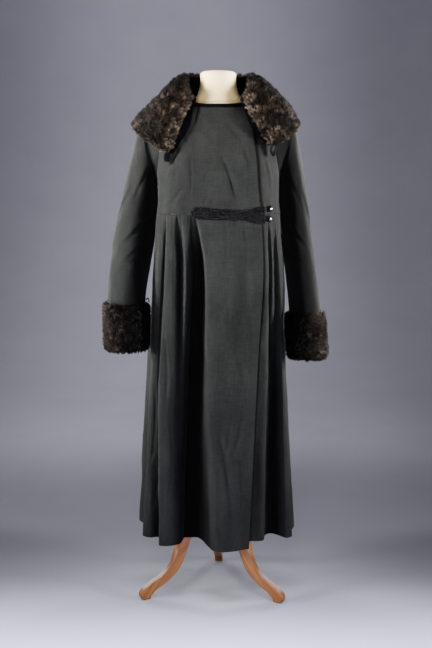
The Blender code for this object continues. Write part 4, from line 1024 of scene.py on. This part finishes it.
def fur_hairs(grid, closed, count, length, lean, seed, fringe, edge_tone, shade):
    """Hairs grown from a grid, leaning along its rows, each lock with a way of its own."""
    chance = np.random.RandomState(seed)
    if closed:
        grid = np.concatenate([grid, grid[:, :1]], axis=1)
    rows, columns = grid.shape[:2]
    normal = grid_normals(grid)
    if closed:
        normal[:, 0] = normal[:, -1] = unit(normal[:, 0] + normal[:, -1])
    down = unit(-np.gradient(grid, axis=0))
    side = unit(np.gradient(grid, axis=1))
    one, two = grid[1:, 1:] - grid[:-1, :-1], grid[1:, :-1] - grid[:-1, 1:]
    area = np.linalg.norm(np.cross(one, two), axis=2).ravel()
    cell = chance.choice(len(area), count, p=area / area.sum())
    r, c = cell // (columns - 1), cell % (columns - 1)
    a, b = chance.rand(count), chance.rand(count)
    weights = ((1 - a) * (1 - b), (1 - a) * b, a * (1 - b), a * b)
    corners = ((r, c), (r, c + 1), (r + 1, c), (r + 1, c + 1))

    def read(field):
        shape = (-1,) + (1,) * (field.ndim - 2)
        return sum(w.reshape(shape) * field[i, j] for w, (i, j) in zip(weights, corners))

    roots, out, fall, across = read(grid), read(normal), read(down), read(side)
    up = (r + a) / (rows - 1)
    along = (c + b) / (columns - 1)
    spill = fall * (smoothstep(0.14, 0.0, up) - smoothstep(0.9, 1.0, up))[:, None]
    at_ends = np.zeros(count)
    if not closed:
        spill = spill + across * (smoothstep(0.95, 1.0, along) - smoothstep(0.05, 0.0, along))[:, None]
        at_ends = smoothstep(0.12, 0.01, np.minimum(along, 1 - along))
    at_rims = 0.5 * smoothstep(0.16, 0.0, up) + 0.5 * smoothstep(0.88, 1.0, up)
    # Lighter hair at the ends and rims: partly lighter tips, partly painted rim light
    edge_tips_and_rim_light = edge_tone * np.maximum(at_ends, at_rims)
    sway = ripple(roots[:, 0] * 55, roots[:, 2] * 55, seed + 1)[:, None] * across * 0.28
    heading = unit(out + fall * lean + spill * fringe + sway + chance.normal(0, 0.20, (count, 3)))
    reach = length * chance.uniform(0.72, 1.08, count)
    tufts = chance.choice(count, count // HAIRS_A_TUFT, replace=False)
    tree = kdtree.KDTree(len(tufts))
    for i, t in enumerate(tufts):
        tree.insert(roots[t], i)
    tree.balance()
    nearest = np.array([tree.find(p)[1] for p in roots])
    lead = tufts[nearest]
    heading = unit(heading + chance.normal(0, 0.30, (len(tufts), 3))[nearest])
    tips = roots + heading * reach[:, None]
    pull = chance.uniform(0.15, 0.70, count)[:, None]
    gather = roots[lead] + heading[lead] * reach[:, None] * 1.03
    tips = tips + (gather - tips) * pull
    spread = unit(np.cross(heading, chance.normal(0, 1, (count, 3))))
    half = chance.uniform(*HAIR_HALF_WIDTHS, count)[:, None]
    points = np.stack([roots - spread * half, roots + spread * half, tips], axis=1)
    soft = unit(0.9 * out + 0.35 * heading + chance.normal(0, 0.42, (count, 3)))
    tone_lead = chance.beta(1.1, 1.5, len(tufts))[nearest]
    seen = 0.35 * roots + 0.65 * tips
    patch = np.clip(handle(seen, seed + 4, 0.034, 1.0, 30), -1.6, 1.6)
    fleck = smoothstep(0.35, 1.4, handle(seen, seed + 6, 0.0190, 1.0, 40))
    dark = smoothstep(0.3, 1.2, handle(seen, seed + 8, 0.024, 1.0, 30))
    tone = 0.26 * tone_lead + 0.20 * chance.rand(count) + 0.10 * patch + 0.21 + edge_tips_and_rim_light
    tone = tone + 0.14 * fleck - 0.26 * dark
    tone = np.clip(tone, 0.01, 0.99)
    return points, soft, tone, shade(roots)


def fur_object(name, hairs, nodes):
    """One mesh of hairs, each a blade of one triangle lit as part of the soft surface that they make."""
    points, soft, tone, shade = hairs
    count = len(points)
    mesh = bpy.data.meshes.new(name)
    mesh.vertices.add(count * 3)
    mesh.vertices.foreach_set("co", (points.reshape(-1, 3) + ORIGIN).astype(np.float32).ravel())
    mesh.loops.add(count * 3)
    mesh.loops.foreach_set("vertex_index", np.arange(count * 3, dtype=np.int32))
    mesh.polygons.add(count)
    mesh.polygons.foreach_set("loop_start", np.arange(count, dtype=np.int32) * 3)
    mesh.update(calc_edges=True)
    layer = mesh.uv_layers.new(name="hair")
    along = np.tile([0.0, 0.0, 1.0], count)
    layer.data.foreach_set("uv", np.stack([np.repeat(tone, 3), along], axis=-1).astype(np.float32).ravel())
    mesh.shade_smooth()
    # Painted shade of each hair, for the fur's colour
    store_painted_shade(mesh, np.repeat(shade, 3))
    mesh.normals_split_custom_set_from_vertices(np.repeat(soft, 3, axis=0).astype(np.float32).tolist())
    return piece(add_object(name, mesh), "fur", nodes)


# Collar
COLLAR_FINE = 8
COLLAR_FINE_ROWS = np.concatenate([np.linspace(0, 1.0, 9), np.linspace(1.0, 3.0, 31)[1:]])
COLLAR_FUR_START = 8
COLLAR_BULK = 0.0078
COLLAR_EDGE_BULK = 0.0012


def lumps(points, seed):
    """The uneven thickness of the fur's ground."""
    return np.clip(handle(points, seed, 0.016, 1.0, 40), -1.4, 1.4)


def collar_painted_shade(points):
    """Painted shade on the fur over the shoulders, behind the collar's front, where it turns from the lights.
    """
    x, y = np.abs(points[:, 0]), points[:, 1]
    return 0.80 * smoothstep(0.07, 0.11, x) * smoothstep(-0.085, -0.035, y) * (1 - smoothstep(0.03, 0.08, y))


def collar_sheet():
    rails = np.array(COLLAR_STATIONS, float)
    places = np.linspace(0, len(rails) - 1, (len(rails) - 1) * COLLAR_FINE + 1)
    stations = through(np.arange(len(rails)), rails, places)
    sheet = through(np.arange(4), stations.transpose(1, 0, 2), COLLAR_FINE_ROWS)
    return outside_body(sheet, COLLAR_GAP)


def make_collar():
    sheet = collar_sheet()
    normal = grid_normals(sheet)
    obj = shell("cloth_collar_lining", sheet + normal * COLLAR_CLOTH, sheet, "velvet", ["collar_lining"])
    declare_cloth(sheet)
    rows, columns = sheet.shape[0] - COLLAR_FUR_START, sheet.shape[1]
    low = np.linspace(0, 1, rows)
    inset = COLLAR_FINE * (1 - 0.55 * smoothstep(0.45, 1.0, low))
    base, out = [], []
    for row, start in enumerate(inset):
        places = np.linspace(start, columns - 1 - start, columns)
        whole = np.arange(columns)
        line = sheet[COLLAR_FUR_START + row] + normal[COLLAR_FUR_START + row] * (COLLAR_CLOTH + FUR_LIFT)
        base.append(through(whole, line, places))
        out.append(through(whole, normal[COLLAR_FUR_START + row], places))
    base, out = np.array(base), np.array(out)
    across = np.minimum(np.arange(columns), columns - 1 - np.arange(columns)) / (2.0 * COLLAR_FINE)
    down = np.minimum(np.arange(rows), rows - 1 - np.arange(rows)) / 8.0
    edge = np.sqrt(np.clip(np.minimum(across[None, :], down[:, None]), 0, 1))
    bulk = COLLAR_EDGE_BULK + (COLLAR_BULK - COLLAR_EDGE_BULK) * edge
    bulk = bulk + 0.0016 * edge * lumps(base, 35)
    skin = base + out * bulk[..., None]
    shell("fur_ground_collar", skin, base, "fur_ground")
    hairs = fur_hairs(skin, False, 190000, 0.0115, 0.50, 31, 0.75, 0.20, collar_painted_shade)
    fur_object("fur_collar", hairs, ["collar_fur"])


# Cuffs
CUFF_PROFILE = (
    # share of the height, share of the fur's depth
    (0.00, 0.10),
    (0.03, 0.42),
    (0.10, 0.56),
    (0.30, 0.62),
    (0.50, 0.64),
    (0.70, 0.62),
    (0.90, 0.56),
    (0.97, 0.42),
    (1.00, 0.10),
)


def make_cuff(name, rows, span, tilt, seed, skirt_side):
    top, bottom = span
    around = np.linspace(0, 2 * np.pi, 64, endpoint=False)
    outer, inner = [], []
    for share, depth in CUFF_PROFILE:
        level = bottom + (top - bottom) * share
        middle_x, half_width, half_depth, middle_y = sleeve_section(rows, level)
        z = level + tilt * np.cos(around) * half_width * share
        middle_x, half_width, half_depth, middle_y = sleeve_section(rows, z)
        for rings, grow in ((outer, CUFF_GAP + CUFF_WALL * depth), (inner, CUFF_GAP)):
            x = middle_x + np.cos(around) * (half_width + grow)
            y = middle_y + np.sin(around) * (half_depth + grow)
            rings.append(np.stack([x, y, z], axis=-1))
    outer, inner = np.array(outer), np.array(inner)
    places = np.concatenate([np.linspace(0, 2, 5), np.linspace(2, 6, 17)[1:-1], np.linspace(6, 8, 5)])
    outer, inner = (through(np.arange(len(CUFF_PROFILE)), rings, places) for rings in (outer, inner))
    inside = np.minimum(1, np.minimum(places, 8 - places) / 2)[:, None]
    outer = outer + unit(outer - inner) * (0.0013 * inside * lumps(outer, seed + 7))[..., None]
    shell(f"fur_ground_{name}", outer, inner, "fur_ground", closed=True)
    middle = outer[..., 0].mean()
    # Painted shade on the cuff's inner side, towards the body
    cuff_inner_shade = lambda p: smoothstep(-0.026, 0.012, skirt_side * (p[:, 0] - middle))
    hairs = fur_hairs(outer, True, 100000, 0.0092, 0.45, seed, 0.6, 0.12, cuff_inner_shade)
    fur_object(f"fur_{name}", hairs, [name])


# Neckline
def make_neck_binding():
    share = np.linspace(0, 1, 9)
    turns, levels = np.meshgrid(np.linspace(-46, 47, 90), 6.45 + 0.51 * share)
    grid = body_point(turns, levels)
    normal = body_normal(turns, levels)
    bulk = 0.0012 + 0.0011 * np.sqrt(np.clip(1 - (2 * share - 1) ** 2, 0, 1))
    outer = grid + normal * bulk[:, None, None]
    shell("cloth_neck_binding", outer, grid + normal * BINDING_LIFT, "velvet", ["neck_binding"])


# Braid, buttons and cords
BRAID_STATIONS = (
    # x, top_z, bottom_z
    (-0.0735, 1.1070, 1.0980),
    (-0.0680, 1.1150, 1.0900),
    (-0.0520, 1.1175, 1.0870),
    (0.0000, 1.1140, 1.0850),
    (0.0400, 1.1115, 1.0835),
    (0.0800, 1.1120, 1.0830),
    (0.1000, 1.1155, 1.0800),
    (0.1170, 1.1205, 1.0735),
    (0.1270, 1.1190, 1.0760),
)
BRAID_LIFT = 0.0011
BRAID_LEAN = 0.07
BRAID_LEAN_ADDED = 0.11
LOOP_RADIUS = 0.0068
LOOP_RISE = 0.0040
LOOP_CORD = 0.0020
BRAID_GROUND = 0.0018
BRAID_LANES = 4
BRAID_TWISTS = 24
BRAID_CORD = 0.00095
BUTTON_LIFT = 0.0008
CORD_SHARP = 68.75


def front_y(x):
    """The waist's front surface at a distance to the side."""
    _, left, right, front, _, square = BODY_LEVELS[0][:6]
    side = np.where(np.asarray(x) < 0, left, right)
    return -front * (1 - np.abs(x / side) ** square) ** (1 / square)


def tube_mesh(name, points, radius, look, nodes=(), sides=8):
    """A cord along a route of points, with both of its ends filled."""
    points = np.asarray(points, float)
    ahead = unit(np.gradient(points, axis=0))
    side = np.cross(ahead[0], (0.0, 1.0, 0.0) if abs(ahead[0][1]) < 0.8 else (1.0, 0.0, 0.0))
    angle = np.linspace(0, 2 * np.pi, sides, endpoint=False)[:, None]
    rings = []
    for point, way, size in zip(points, ahead, np.broadcast_to(radius, len(points))):
        side = unit(side - way * np.dot(side, way))
        rings.append(point + size * (np.cos(angle) * side + np.sin(angle) * np.cross(way, side)))
    return mesh_object(name, rings, capped_faces(len(rings), sides), look, nodes, sharp=CORD_SHARP)


def braid_point(x, share, table):
    """A point of the braid's front, by its place along it and its share of the height."""
    _, top, bottom = through(table[:, 0], table, x).T
    z = bottom + (top - bottom) * share
    lean = BRAID_LEAN + BRAID_LEAN_ADDED * smoothstep(0.05, 0.12, x)
    y = front_y(x) - BRAID_LIFT - lean * np.clip(WAIST_Z - z, 0, None)
    return np.stack([x, y, z], axis=-1)


def make_braid():
    """A flat ground, and in front of it lanes of two cords each that wind round one another."""
    table = np.array(BRAID_STATIONS)
    start, end = table[0, 0], table[-1, 0]
    x = np.linspace(start, end, 120)
    back = np.array([braid_point(x, share, table) for share in np.linspace(0, 1, 7)])
    shell("braid_ground", back - np.array([0, BRAID_GROUND, 0]), back, "braid_core", ["braid_band"])
    t = np.linspace(0.006, 0.994, 620)
    for lane in range(BRAID_LANES):
        swing = 0.105 * (1 + 0.35 * np.sin(t * 31 + lane))
        for twin in range(2):
            phase = t * 2 * np.pi * BRAID_TWISTS + lane * 1.3 + twin * np.pi
            share = (lane + 0.5) / BRAID_LANES + swing * np.sin(phase)
            x = start + (end - start) * t + 0.0014 * np.sin(phase * 2)
            x = np.clip(x, start + 0.001, end - 0.001)
            route = braid_point(x, np.clip(share, 0.02, 0.98), table)
            route[:, 1] -= 0.0026 + 0.0007 * np.cos(phase)
            tube_mesh(f"braid_lane_{2 * lane + twin + 1}", route, BRAID_CORD, "braid", sides=5)


BUTTONS = (
    # name, loop, turn, z, how far the gathers stand out under it
    ("button_upper", "braid_loop_upper", 48.4, 1.1138, -0.0012),
    ("button_lower", "braid_loop_lower", 47.4, 1.0870, 0.0008),
)


def button_seat(turn, z, lift):
    """The point of the left front's surface behind a button, and the directions out of it and along it."""
    at = np.array([turn])
    out = body_normal(at, 0.05)[0]
    seat = body_point(at, 0.0)[0] + out * (lift - underlap_inset(turn))
    seat[2] = z
    return seat, out, np.array([-out[1], out[0], 0.0])


def make_fastenings():
    make_braid()
    for name, loop, turn, z, lift in BUTTONS:
        seat, out, along = button_seat(turn, z, lift)
        mesh = bpy.data.meshes.new(f"ball_{name}")
        ball = bmesh.new()
        bmesh.ops.create_uvsphere(ball, u_segments=40, v_segments=24, radius=BUTTON_RADIUS)
        middle = Vector(seat + out * (BUTTON_RADIUS + BUTTON_LIFT) + ORIGIN)
        bmesh.ops.translate(ball, verts=ball.verts, vec=middle)
        ball.to_mesh(mesh)
        ball.free()
        mesh.shade_smooth()
        piece(add_object(f"ball_{name}", mesh), "silver", [name])
        angle = np.radians(np.linspace(160, -160, 60))[:, None]
        rise = LOOP_RISE * ((1 - np.cos(angle)) / 2) ** 2
        ring = LOOP_RADIUS * (along * np.cos(angle) + np.array([0, 0, 1]) * np.sin(angle))
        points = seat + ring + out * (CORD_RADIUS + 0.0007 + rise)
        tube_mesh(f"cord_{loop}", points, LOOP_CORD, "cord", [loop], sides=12)


CORDS = (
    # name, radius, route of xyz points
    ("collar_toggle", 0.00748, (
        (-0.1395, -0.1296, 1.2636),
        (-0.1405, -0.1300, 1.2520),
        (-0.1400, -0.1300, 1.2400),
    )),
    ("collar_loop_left", 0.0012, (
        (-0.1300, -0.1335, 1.2612),
        (-0.1310, -0.1340, 1.2480),
        (-0.1280, -0.1345, 1.2330),
        (-0.1250, -0.1354, 1.2598),
    )),
    ("collar_loop_right", 0.00408, (
        (0.1440, -0.1260, 1.2820),
        (0.1420, -0.1270, 1.2700),
        (0.1500, -0.1275, 1.2590),
        (0.1560, -0.1260, 1.2820),
    )),
    ("cuff_loop", 0.0016, (
        (-0.2030, -0.0520, 0.8580),
        (-0.2000, -0.0520, 0.8640),
        (-0.1955, -0.0520, 0.8600),
        (-0.1950, -0.0520, 0.8520),
    )),
)


def make_cords():
    for name, radius, route in CORDS:
        places = np.linspace(0, len(route) - 1, 14 * len(route))
        points = through(np.arange(len(route)), route, places)
        if name == "collar_toggle":
            share = np.linspace(0, 1, len(points))
            bulge = 0.45 + 0.55 * np.sqrt(np.sin(np.pi * (0.12 + 0.8 * share)))
            radius = radius * bulge * (1 + 0.10 * np.sin(share * 40))
        tube_mesh(f"cord_{name}", points, radius, "cord", [name], sides=12)


# Dress form and stand
NECK_FOLDS = (
    # rise over the coat's neckline, depth, sway
    (0.0045, 0.0011, 0.0008),
    (0.0085, 0.0009, 0.0011),
    (0.0130, 0.0006, 0.0014),
)


FORM_LEVELS = (0.4, 2.0, 3.2, 4.2, 5.0, 5.5, 6.0, 6.99)
FORM_FOOT_SHARES = (0.02, 0.5)
FORM_CAP_SHARES = (0.86, 0.6, 0.3, 0.02)
FORM_CAP_RISE = 0.0012


def flat_ring(angle, z, half_width, half_depth):
    x, y = half_width * np.sin(angle), -half_depth * np.cos(angle)
    return np.stack([x, y, np.full(len(angle), z)], axis=-1)


def make_form():
    """Hips, torso and neck as one skin, with the jersey's creases round the foot of the neck, and painted
    shade at the neck's foot, on its sides and in the creases.
    """
    turns = np.linspace(-180, 180, 96, endpoint=False)
    angle = np.radians(turns)
    around, heights = np.meshgrid(turns, FORM_LEVELS)
    inset = through(range(len(BODY_LEVELS)), [row[9] for row in BODY_LEVELS], FORM_LEVELS)[:, None]
    inset = inset + underlap_inset(np.abs(around)) + GAP
    hips = [flat_ring(angle, *row) for row in HIP_RINGS[::-1]]
    torso = body_point(around, heights) - body_normal(around, heights) * inset[..., None]
    neck = [flat_ring(angle, *row) for row in NECK_RINGS]
    rings = np.concatenate([hips, torso, neck])
    top, last = len(hips) + len(torso) - 1, len(rings) - 1
    torso_places = np.linspace(len(hips), top, 60)[:-1]
    places = np.concatenate([np.arange(len(hips)), torso_places, np.linspace(top, last, 90)])
    grid = through(np.arange(len(rings)), rings, places)
    above = grid[..., 2] - rings[top, :, 2]
    aside = np.abs(np.sin(angle))[None, :]
    # Painted shade at the foot of the neck, under the collar, and on the neck's sides
    shade = 0.55 * smoothstep(0.022, 0.0, above) * (0.45 + 0.55 * smoothstep(0.35, 0.8, aside))
    shade = shade + 0.60 * smoothstep(0.62, 0.98, aside) * smoothstep(0.075, 0.035, above)
    for rise, deep, sway in NECK_FOLDS:
        line = grid[..., 2] - (rings[top, :, 2] + rise + sway * np.sin(2 * angle + rise * 900))
        groove = np.exp(-((line / 0.0009) ** 2)) - 0.6 * np.exp(-(((line - 0.0022) / 0.0014) ** 2))
        # Painted shade in the crease
        shade = shade + 0.35 * np.exp(-((line / 0.0011) ** 2))
        reach = np.maximum(np.linalg.norm(grid[..., :2], axis=-1), 0.02)
        grid[..., :2] *= 1 - (deep * groove / reach)[..., None]
    foot = [rings[0] * (share, share, 1.0) for share in FORM_FOOT_SHARES]
    cap = [rings[-1] * (share, share, 1.0) + (0, 0, FORM_CAP_RISE * (1 - share)) for share in FORM_CAP_SHARES]
    grid = np.concatenate([foot, grid, cap])
    rows, columns = grid.shape[:2]
    obj = mesh_object("form_skin", grid, capped_faces(rows, columns), "jersey", ["form_torso"], sharp=50)
    shade = np.concatenate([np.zeros((len(foot), columns)), shade, np.zeros((len(cap), columns))])
    store_painted_shade(obj.data, np.clip(shade, 0, 0.9))


def grain_uv(mesh, along, across):
    layer = mesh.uv_layers.new(name="grain")
    count = len(mesh.loops)
    index = np.empty(count, np.int32)
    mesh.loops.foreach_get("vertex_index", index)
    layer.data.foreach_set("uv", np.stack([along[index], across[index]], axis=1).astype(np.float32).ravel())


def leg_outline():
    """The leg's side outline, and how far along the leg each of its points is."""
    table = np.array(LEG_SECTIONS)
    places = np.linspace(0, len(table) - 1, 5 * len(table))
    line = through(np.arange(len(table)), table, places)
    middle = line[:, :2]
    ahead = np.gradient(middle, axis=0)
    ahead /= np.linalg.norm(ahead, axis=1, keepdims=True)
    across = np.stack([-ahead[:, 1], ahead[:, 0]], axis=1)
    upper = middle + across * line[:, 2:3] / 2
    lower = middle - across * line[:, 2:3] / 2
    upper[0, 0] = lower[0, 0] = table[0, 0]
    lower = np.maximum(lower, (table[0, 0], 0.0))
    toe_keys = np.array([upper[-2]] + [(FOOT_REACH + reach, height) for reach, height in TOE_OUTLINE[:-1]])
    toe = through(np.arange(5), toe_keys, np.linspace(0, 4, 17))
    toe[:, 1] = np.maximum(toe[:, 1], 0.0)
    keep = lower[lower[:, 0] < FOOT_REACH - FOOT_BACK]
    heel = np.array([(FOOT_REACH + TOE_OUTLINE[-1][0], 0.0)])
    return np.concatenate([upper[:-2], toe, heel, keep[::-1]])


def make_leg(name, turn):
    """A flat leg with eased edges, its grain running along it."""
    half = LEG_THICKNESS / 2
    work = bmesh.new()
    face = work.faces.new([work.verts.new((reach, -half, height)) for reach, height in leg_outline()])
    grown = bmesh.ops.extrude_face_region(work, geom=[face])
    for vert in (v for v in grown["geom"] if isinstance(v, bmesh.types.BMVert)):
        vert.co.y = half
    bmesh.ops.recalc_face_normals(work, faces=work.faces)
    rims = [e for e in work.edges if abs(e.verts[0].co.y - e.verts[1].co.y) < 1e-6]
    easing = {"offset": LEG_EASE, "segments": 4, "profile": 0.6}
    bmesh.ops.bevel(work, geom=rims, affect="EDGES", clamp_overlap=True, **easing)
    mesh = bpy.data.meshes.new(name)
    work.to_mesh(mesh)
    work.free()
    x, y, z = np.array([v.co[:] for v in mesh.vertices]).T
    grain_uv(mesh, x * 0.61 - z * 0.79 + 0.31 * turn, x * 0.79 + z * 0.61 + 0.4 * y)
    mesh.shade_smooth()
    mesh.set_sharp_from_angle(angle=0.9)
    obj = add_object(name, mesh)
    obj.location = Vector(ORIGIN + np.array([STAND_X, STAND_Y, 0]))
    obj.rotation_euler = (0, 0, np.radians(90 - turn))
    piece(obj, "wood", [name.replace("wood_", "")])


def make_turned(name, radius, low, high, node):
    """An upright turned piece with eased rims."""
    ease = TURNED_EASE
    rim = ((0.0002, 0.0), (radius - ease, 0.0), (radius - 0.3 * ease, 0.3 * ease), (radius, ease))
    reach, z = np.array([(r, low + up) for r, up in rim] + [(r, high - up) for r, up in rim[::-1]]).T
    angle = np.linspace(0, 2 * np.pi, 64, endpoint=False)
    x, y = np.outer(reach, np.cos(angle)), np.outer(reach, np.sin(angle))
    grid = np.stack([x + STAND_X, y + STAND_Y, np.broadcast_to(z[:, None], x.shape)], axis=-1)
    obj = mesh_object(name, grid, capped_faces(len(z), len(angle)), "wood", [node], sharp=40)
    grain_uv(obj.data, grid[..., 2].ravel(), np.arctan2(y, x).ravel() * radius)


def make_stand():
    make_turned("wood_column", COLUMN_RADIUS, HUB_SPAN[1] + GAP, HIP_RINGS[-1][0] - GAP, "stand_column")
    make_turned("wood_hub", HUB_RADIUS, *HUB_SPAN, "stand_hub")
    for index in range(3):
        make_leg(f"wood_stand_leg_{index + 1}", STAND_TURN + 120 * index)


# Studio
SWEEP_RADIUS = 5.4
SWEEP_BEND = 2.6
SWEEP_HEIGHT = 6.0


# Painted light on the paper: the middle of its falloff aside, and how it grades aside and back
PAPER_MIDDLE = -0.25
PAPER_LIGHT_GRADES = (
    # direction, from, to, brightness at the first, brightness at the second
    ("aside", 0.20, 1.70, 1.05, 0.50),
    ("back", -0.60, 0.45, 2.30, 0.66),
    ("back", 0.90, 1.90, 1.00, 1.50),
)
LIGHTS = (
    # name, place, target, size, power, colour, spread
    ("left", (-2.7, -0.75, 1.40), (0, 0, 1.30), (0.7, 1.3), 52, (1.0, 0.98, 0.98), 38),
    ("right", (2.7, -0.80, 1.40), (0, 0, 1.30), (0.7, 1.3), 41, (1.0, 0.98, 0.98), 38),
    ("front", (-0.3, -3.8, 2.8), (0, 0, 1.3), (0.8, 0.8), 7, (1.0, 0.99, 0.94), 40),
    ("floor", (0.0, -1.20, 2.3), (0, -1.20, 0.0), (2.8, 0.4), 105, (0.86, 0.86, 1.0), 54),
    ("wall", (-0.25, 1.0, 3.2), (-0.25, 5.4, 1.0), (1.4, 0.5), 170, (0.97, 0.97, 1.0), 180),
    ("rear_left", (-2.3, 3.2, 2.3), (0, 0, 1.2), (1.2, 1.2), 20, (0.98, 0.98, 1.0), 31),
    ("rear_right", (2.3, 3.2, 2.3), (0, 0, 1.2), (1.2, 1.2), 20, (0.98, 0.98, 1.0), 31),
)
WORLD_COLOUR = (0.80, 0.80, 0.92, 1.0)
WORLD_STRENGTH = 0.03
CAMERA_LENS = 56.44
CAMERA_PLACE = (NECK_X - 0.0063, NECK_Y - 2.9, 1.135)
CAMERA_DIP = 6.9


def paper_material():
    """Grey paper with painted light: brighter in front, darker to the sides and behind the stand, lighter
    again far back.
    """
    look = Look("studio_paper", (0.42, 0.42, 0.50), 0.95)
    place = look.place()
    grain = look.noise(place, 3.0, 2.0)
    tone = look.ramp(grain, (0.3, (0.272, 0.270, 0.322)), (0.7, (0.292, 0.290, 0.345)))
    x, y = look.axes(place)
    ways = {"aside": look.math("ABSOLUTE", look.math("ADD", x, -PAPER_MIDDLE)), "back": y}
    for way, start, end, first, last in PAPER_LIGHT_GRADES:
        inputs = {"Value": ways[way], "From Min": start, "From Max": end, "To Min": first, "To Max": last}
        share = look.node("MapRange", inputs, "Result", interpolation_type="SMOOTHSTEP")
        tone = look.node("VectorMath", {"Vector": tone, "Scale": share}, "Vector", operation="SCALE")
    return look.finish(tone)


def make_backdrop():
    """A seamless paper sweep all round: floor, bend and wall."""
    flat = SWEEP_RADIUS - SWEEP_BEND
    run = [(0.02, 0.0), (flat, 0.0)]
    for angle in np.radians(np.linspace(0, 90, 14)[1:]):
        run.append((flat + SWEEP_BEND * np.sin(angle), SWEEP_BEND * (1 - np.cos(angle))))
    run.append((SWEEP_RADIUS, SWEEP_HEIGHT))
    turns = np.linspace(0, 2 * np.pi, 96, endpoint=False)
    points = [(r * np.cos(t), r * np.sin(t), z - 0.0005) for r, z in run for t in turns]
    middle = [list(range(len(turns)))]
    mesh = bpy.data.meshes.new("studio_sweep")
    mesh.from_pydata(points, [], middle + grid_faces(len(run), len(turns), True)[:, ::-1].tolist())
    mesh.shade_smooth()
    mesh.materials.append(paper_material())
    add_object("studio_sweep", mesh)


def make_lights():
    for name, place, target, size, power, colour, spread in LIGHTS:
        data = bpy.data.lights.new(f"light_{name}", "AREA")
        data.spread = np.radians(spread)
        data.shape = "RECTANGLE"
        data.size, data.size_y = size
        data.energy = power
        data.color = colour
        obj = add_object(f"light_{name}", data)
        obj.location = place
        obj.visible_camera = False
        obj.rotation_euler = (Vector(target) - Vector(place)).to_track_quat("-Z", "Y").to_euler()
    world = bpy.data.worlds.new("studio_world")
    world.use_nodes = True
    sky = world.node_tree.nodes["Background"]
    sky.inputs["Color"].default_value = WORLD_COLOUR
    sky.inputs["Strength"].default_value = WORLD_STRENGTH
    bpy.context.scene.world = world


def make_camera():
    data = bpy.data.cameras.new("photo_camera")
    data.lens = CAMERA_LENS
    data.sensor_width = 36.0
    camera = add_object("photo_camera", data)
    camera.location = CAMERA_PLACE
    camera.rotation_euler = (np.radians(90 - CAMERA_DIP), 0, 0)
    bpy.context.scene.camera = camera


make_bodice()
make_skirt()
make_sleeve("cloth_sleeve_right", RIGHT_SLEEVE, -1, 41)
make_sleeve("cloth_sleeve_left", LEFT_SLEEVE, 1, 42)
make_collar()
make_cuff("cuff_right", RIGHT_SLEEVE, CUFF_RIGHT_SPAN, -0.04, 51, 1)
make_cuff("cuff_left", LEFT_SLEEVE, CUFF_LEFT_SPAN, 0.04, 52, -1)
make_neck_binding()
make_fastenings()
make_cords()
make_form()
make_stand()
make_backdrop()
make_lights()
make_camera()
bpy.context.view_layer.update()
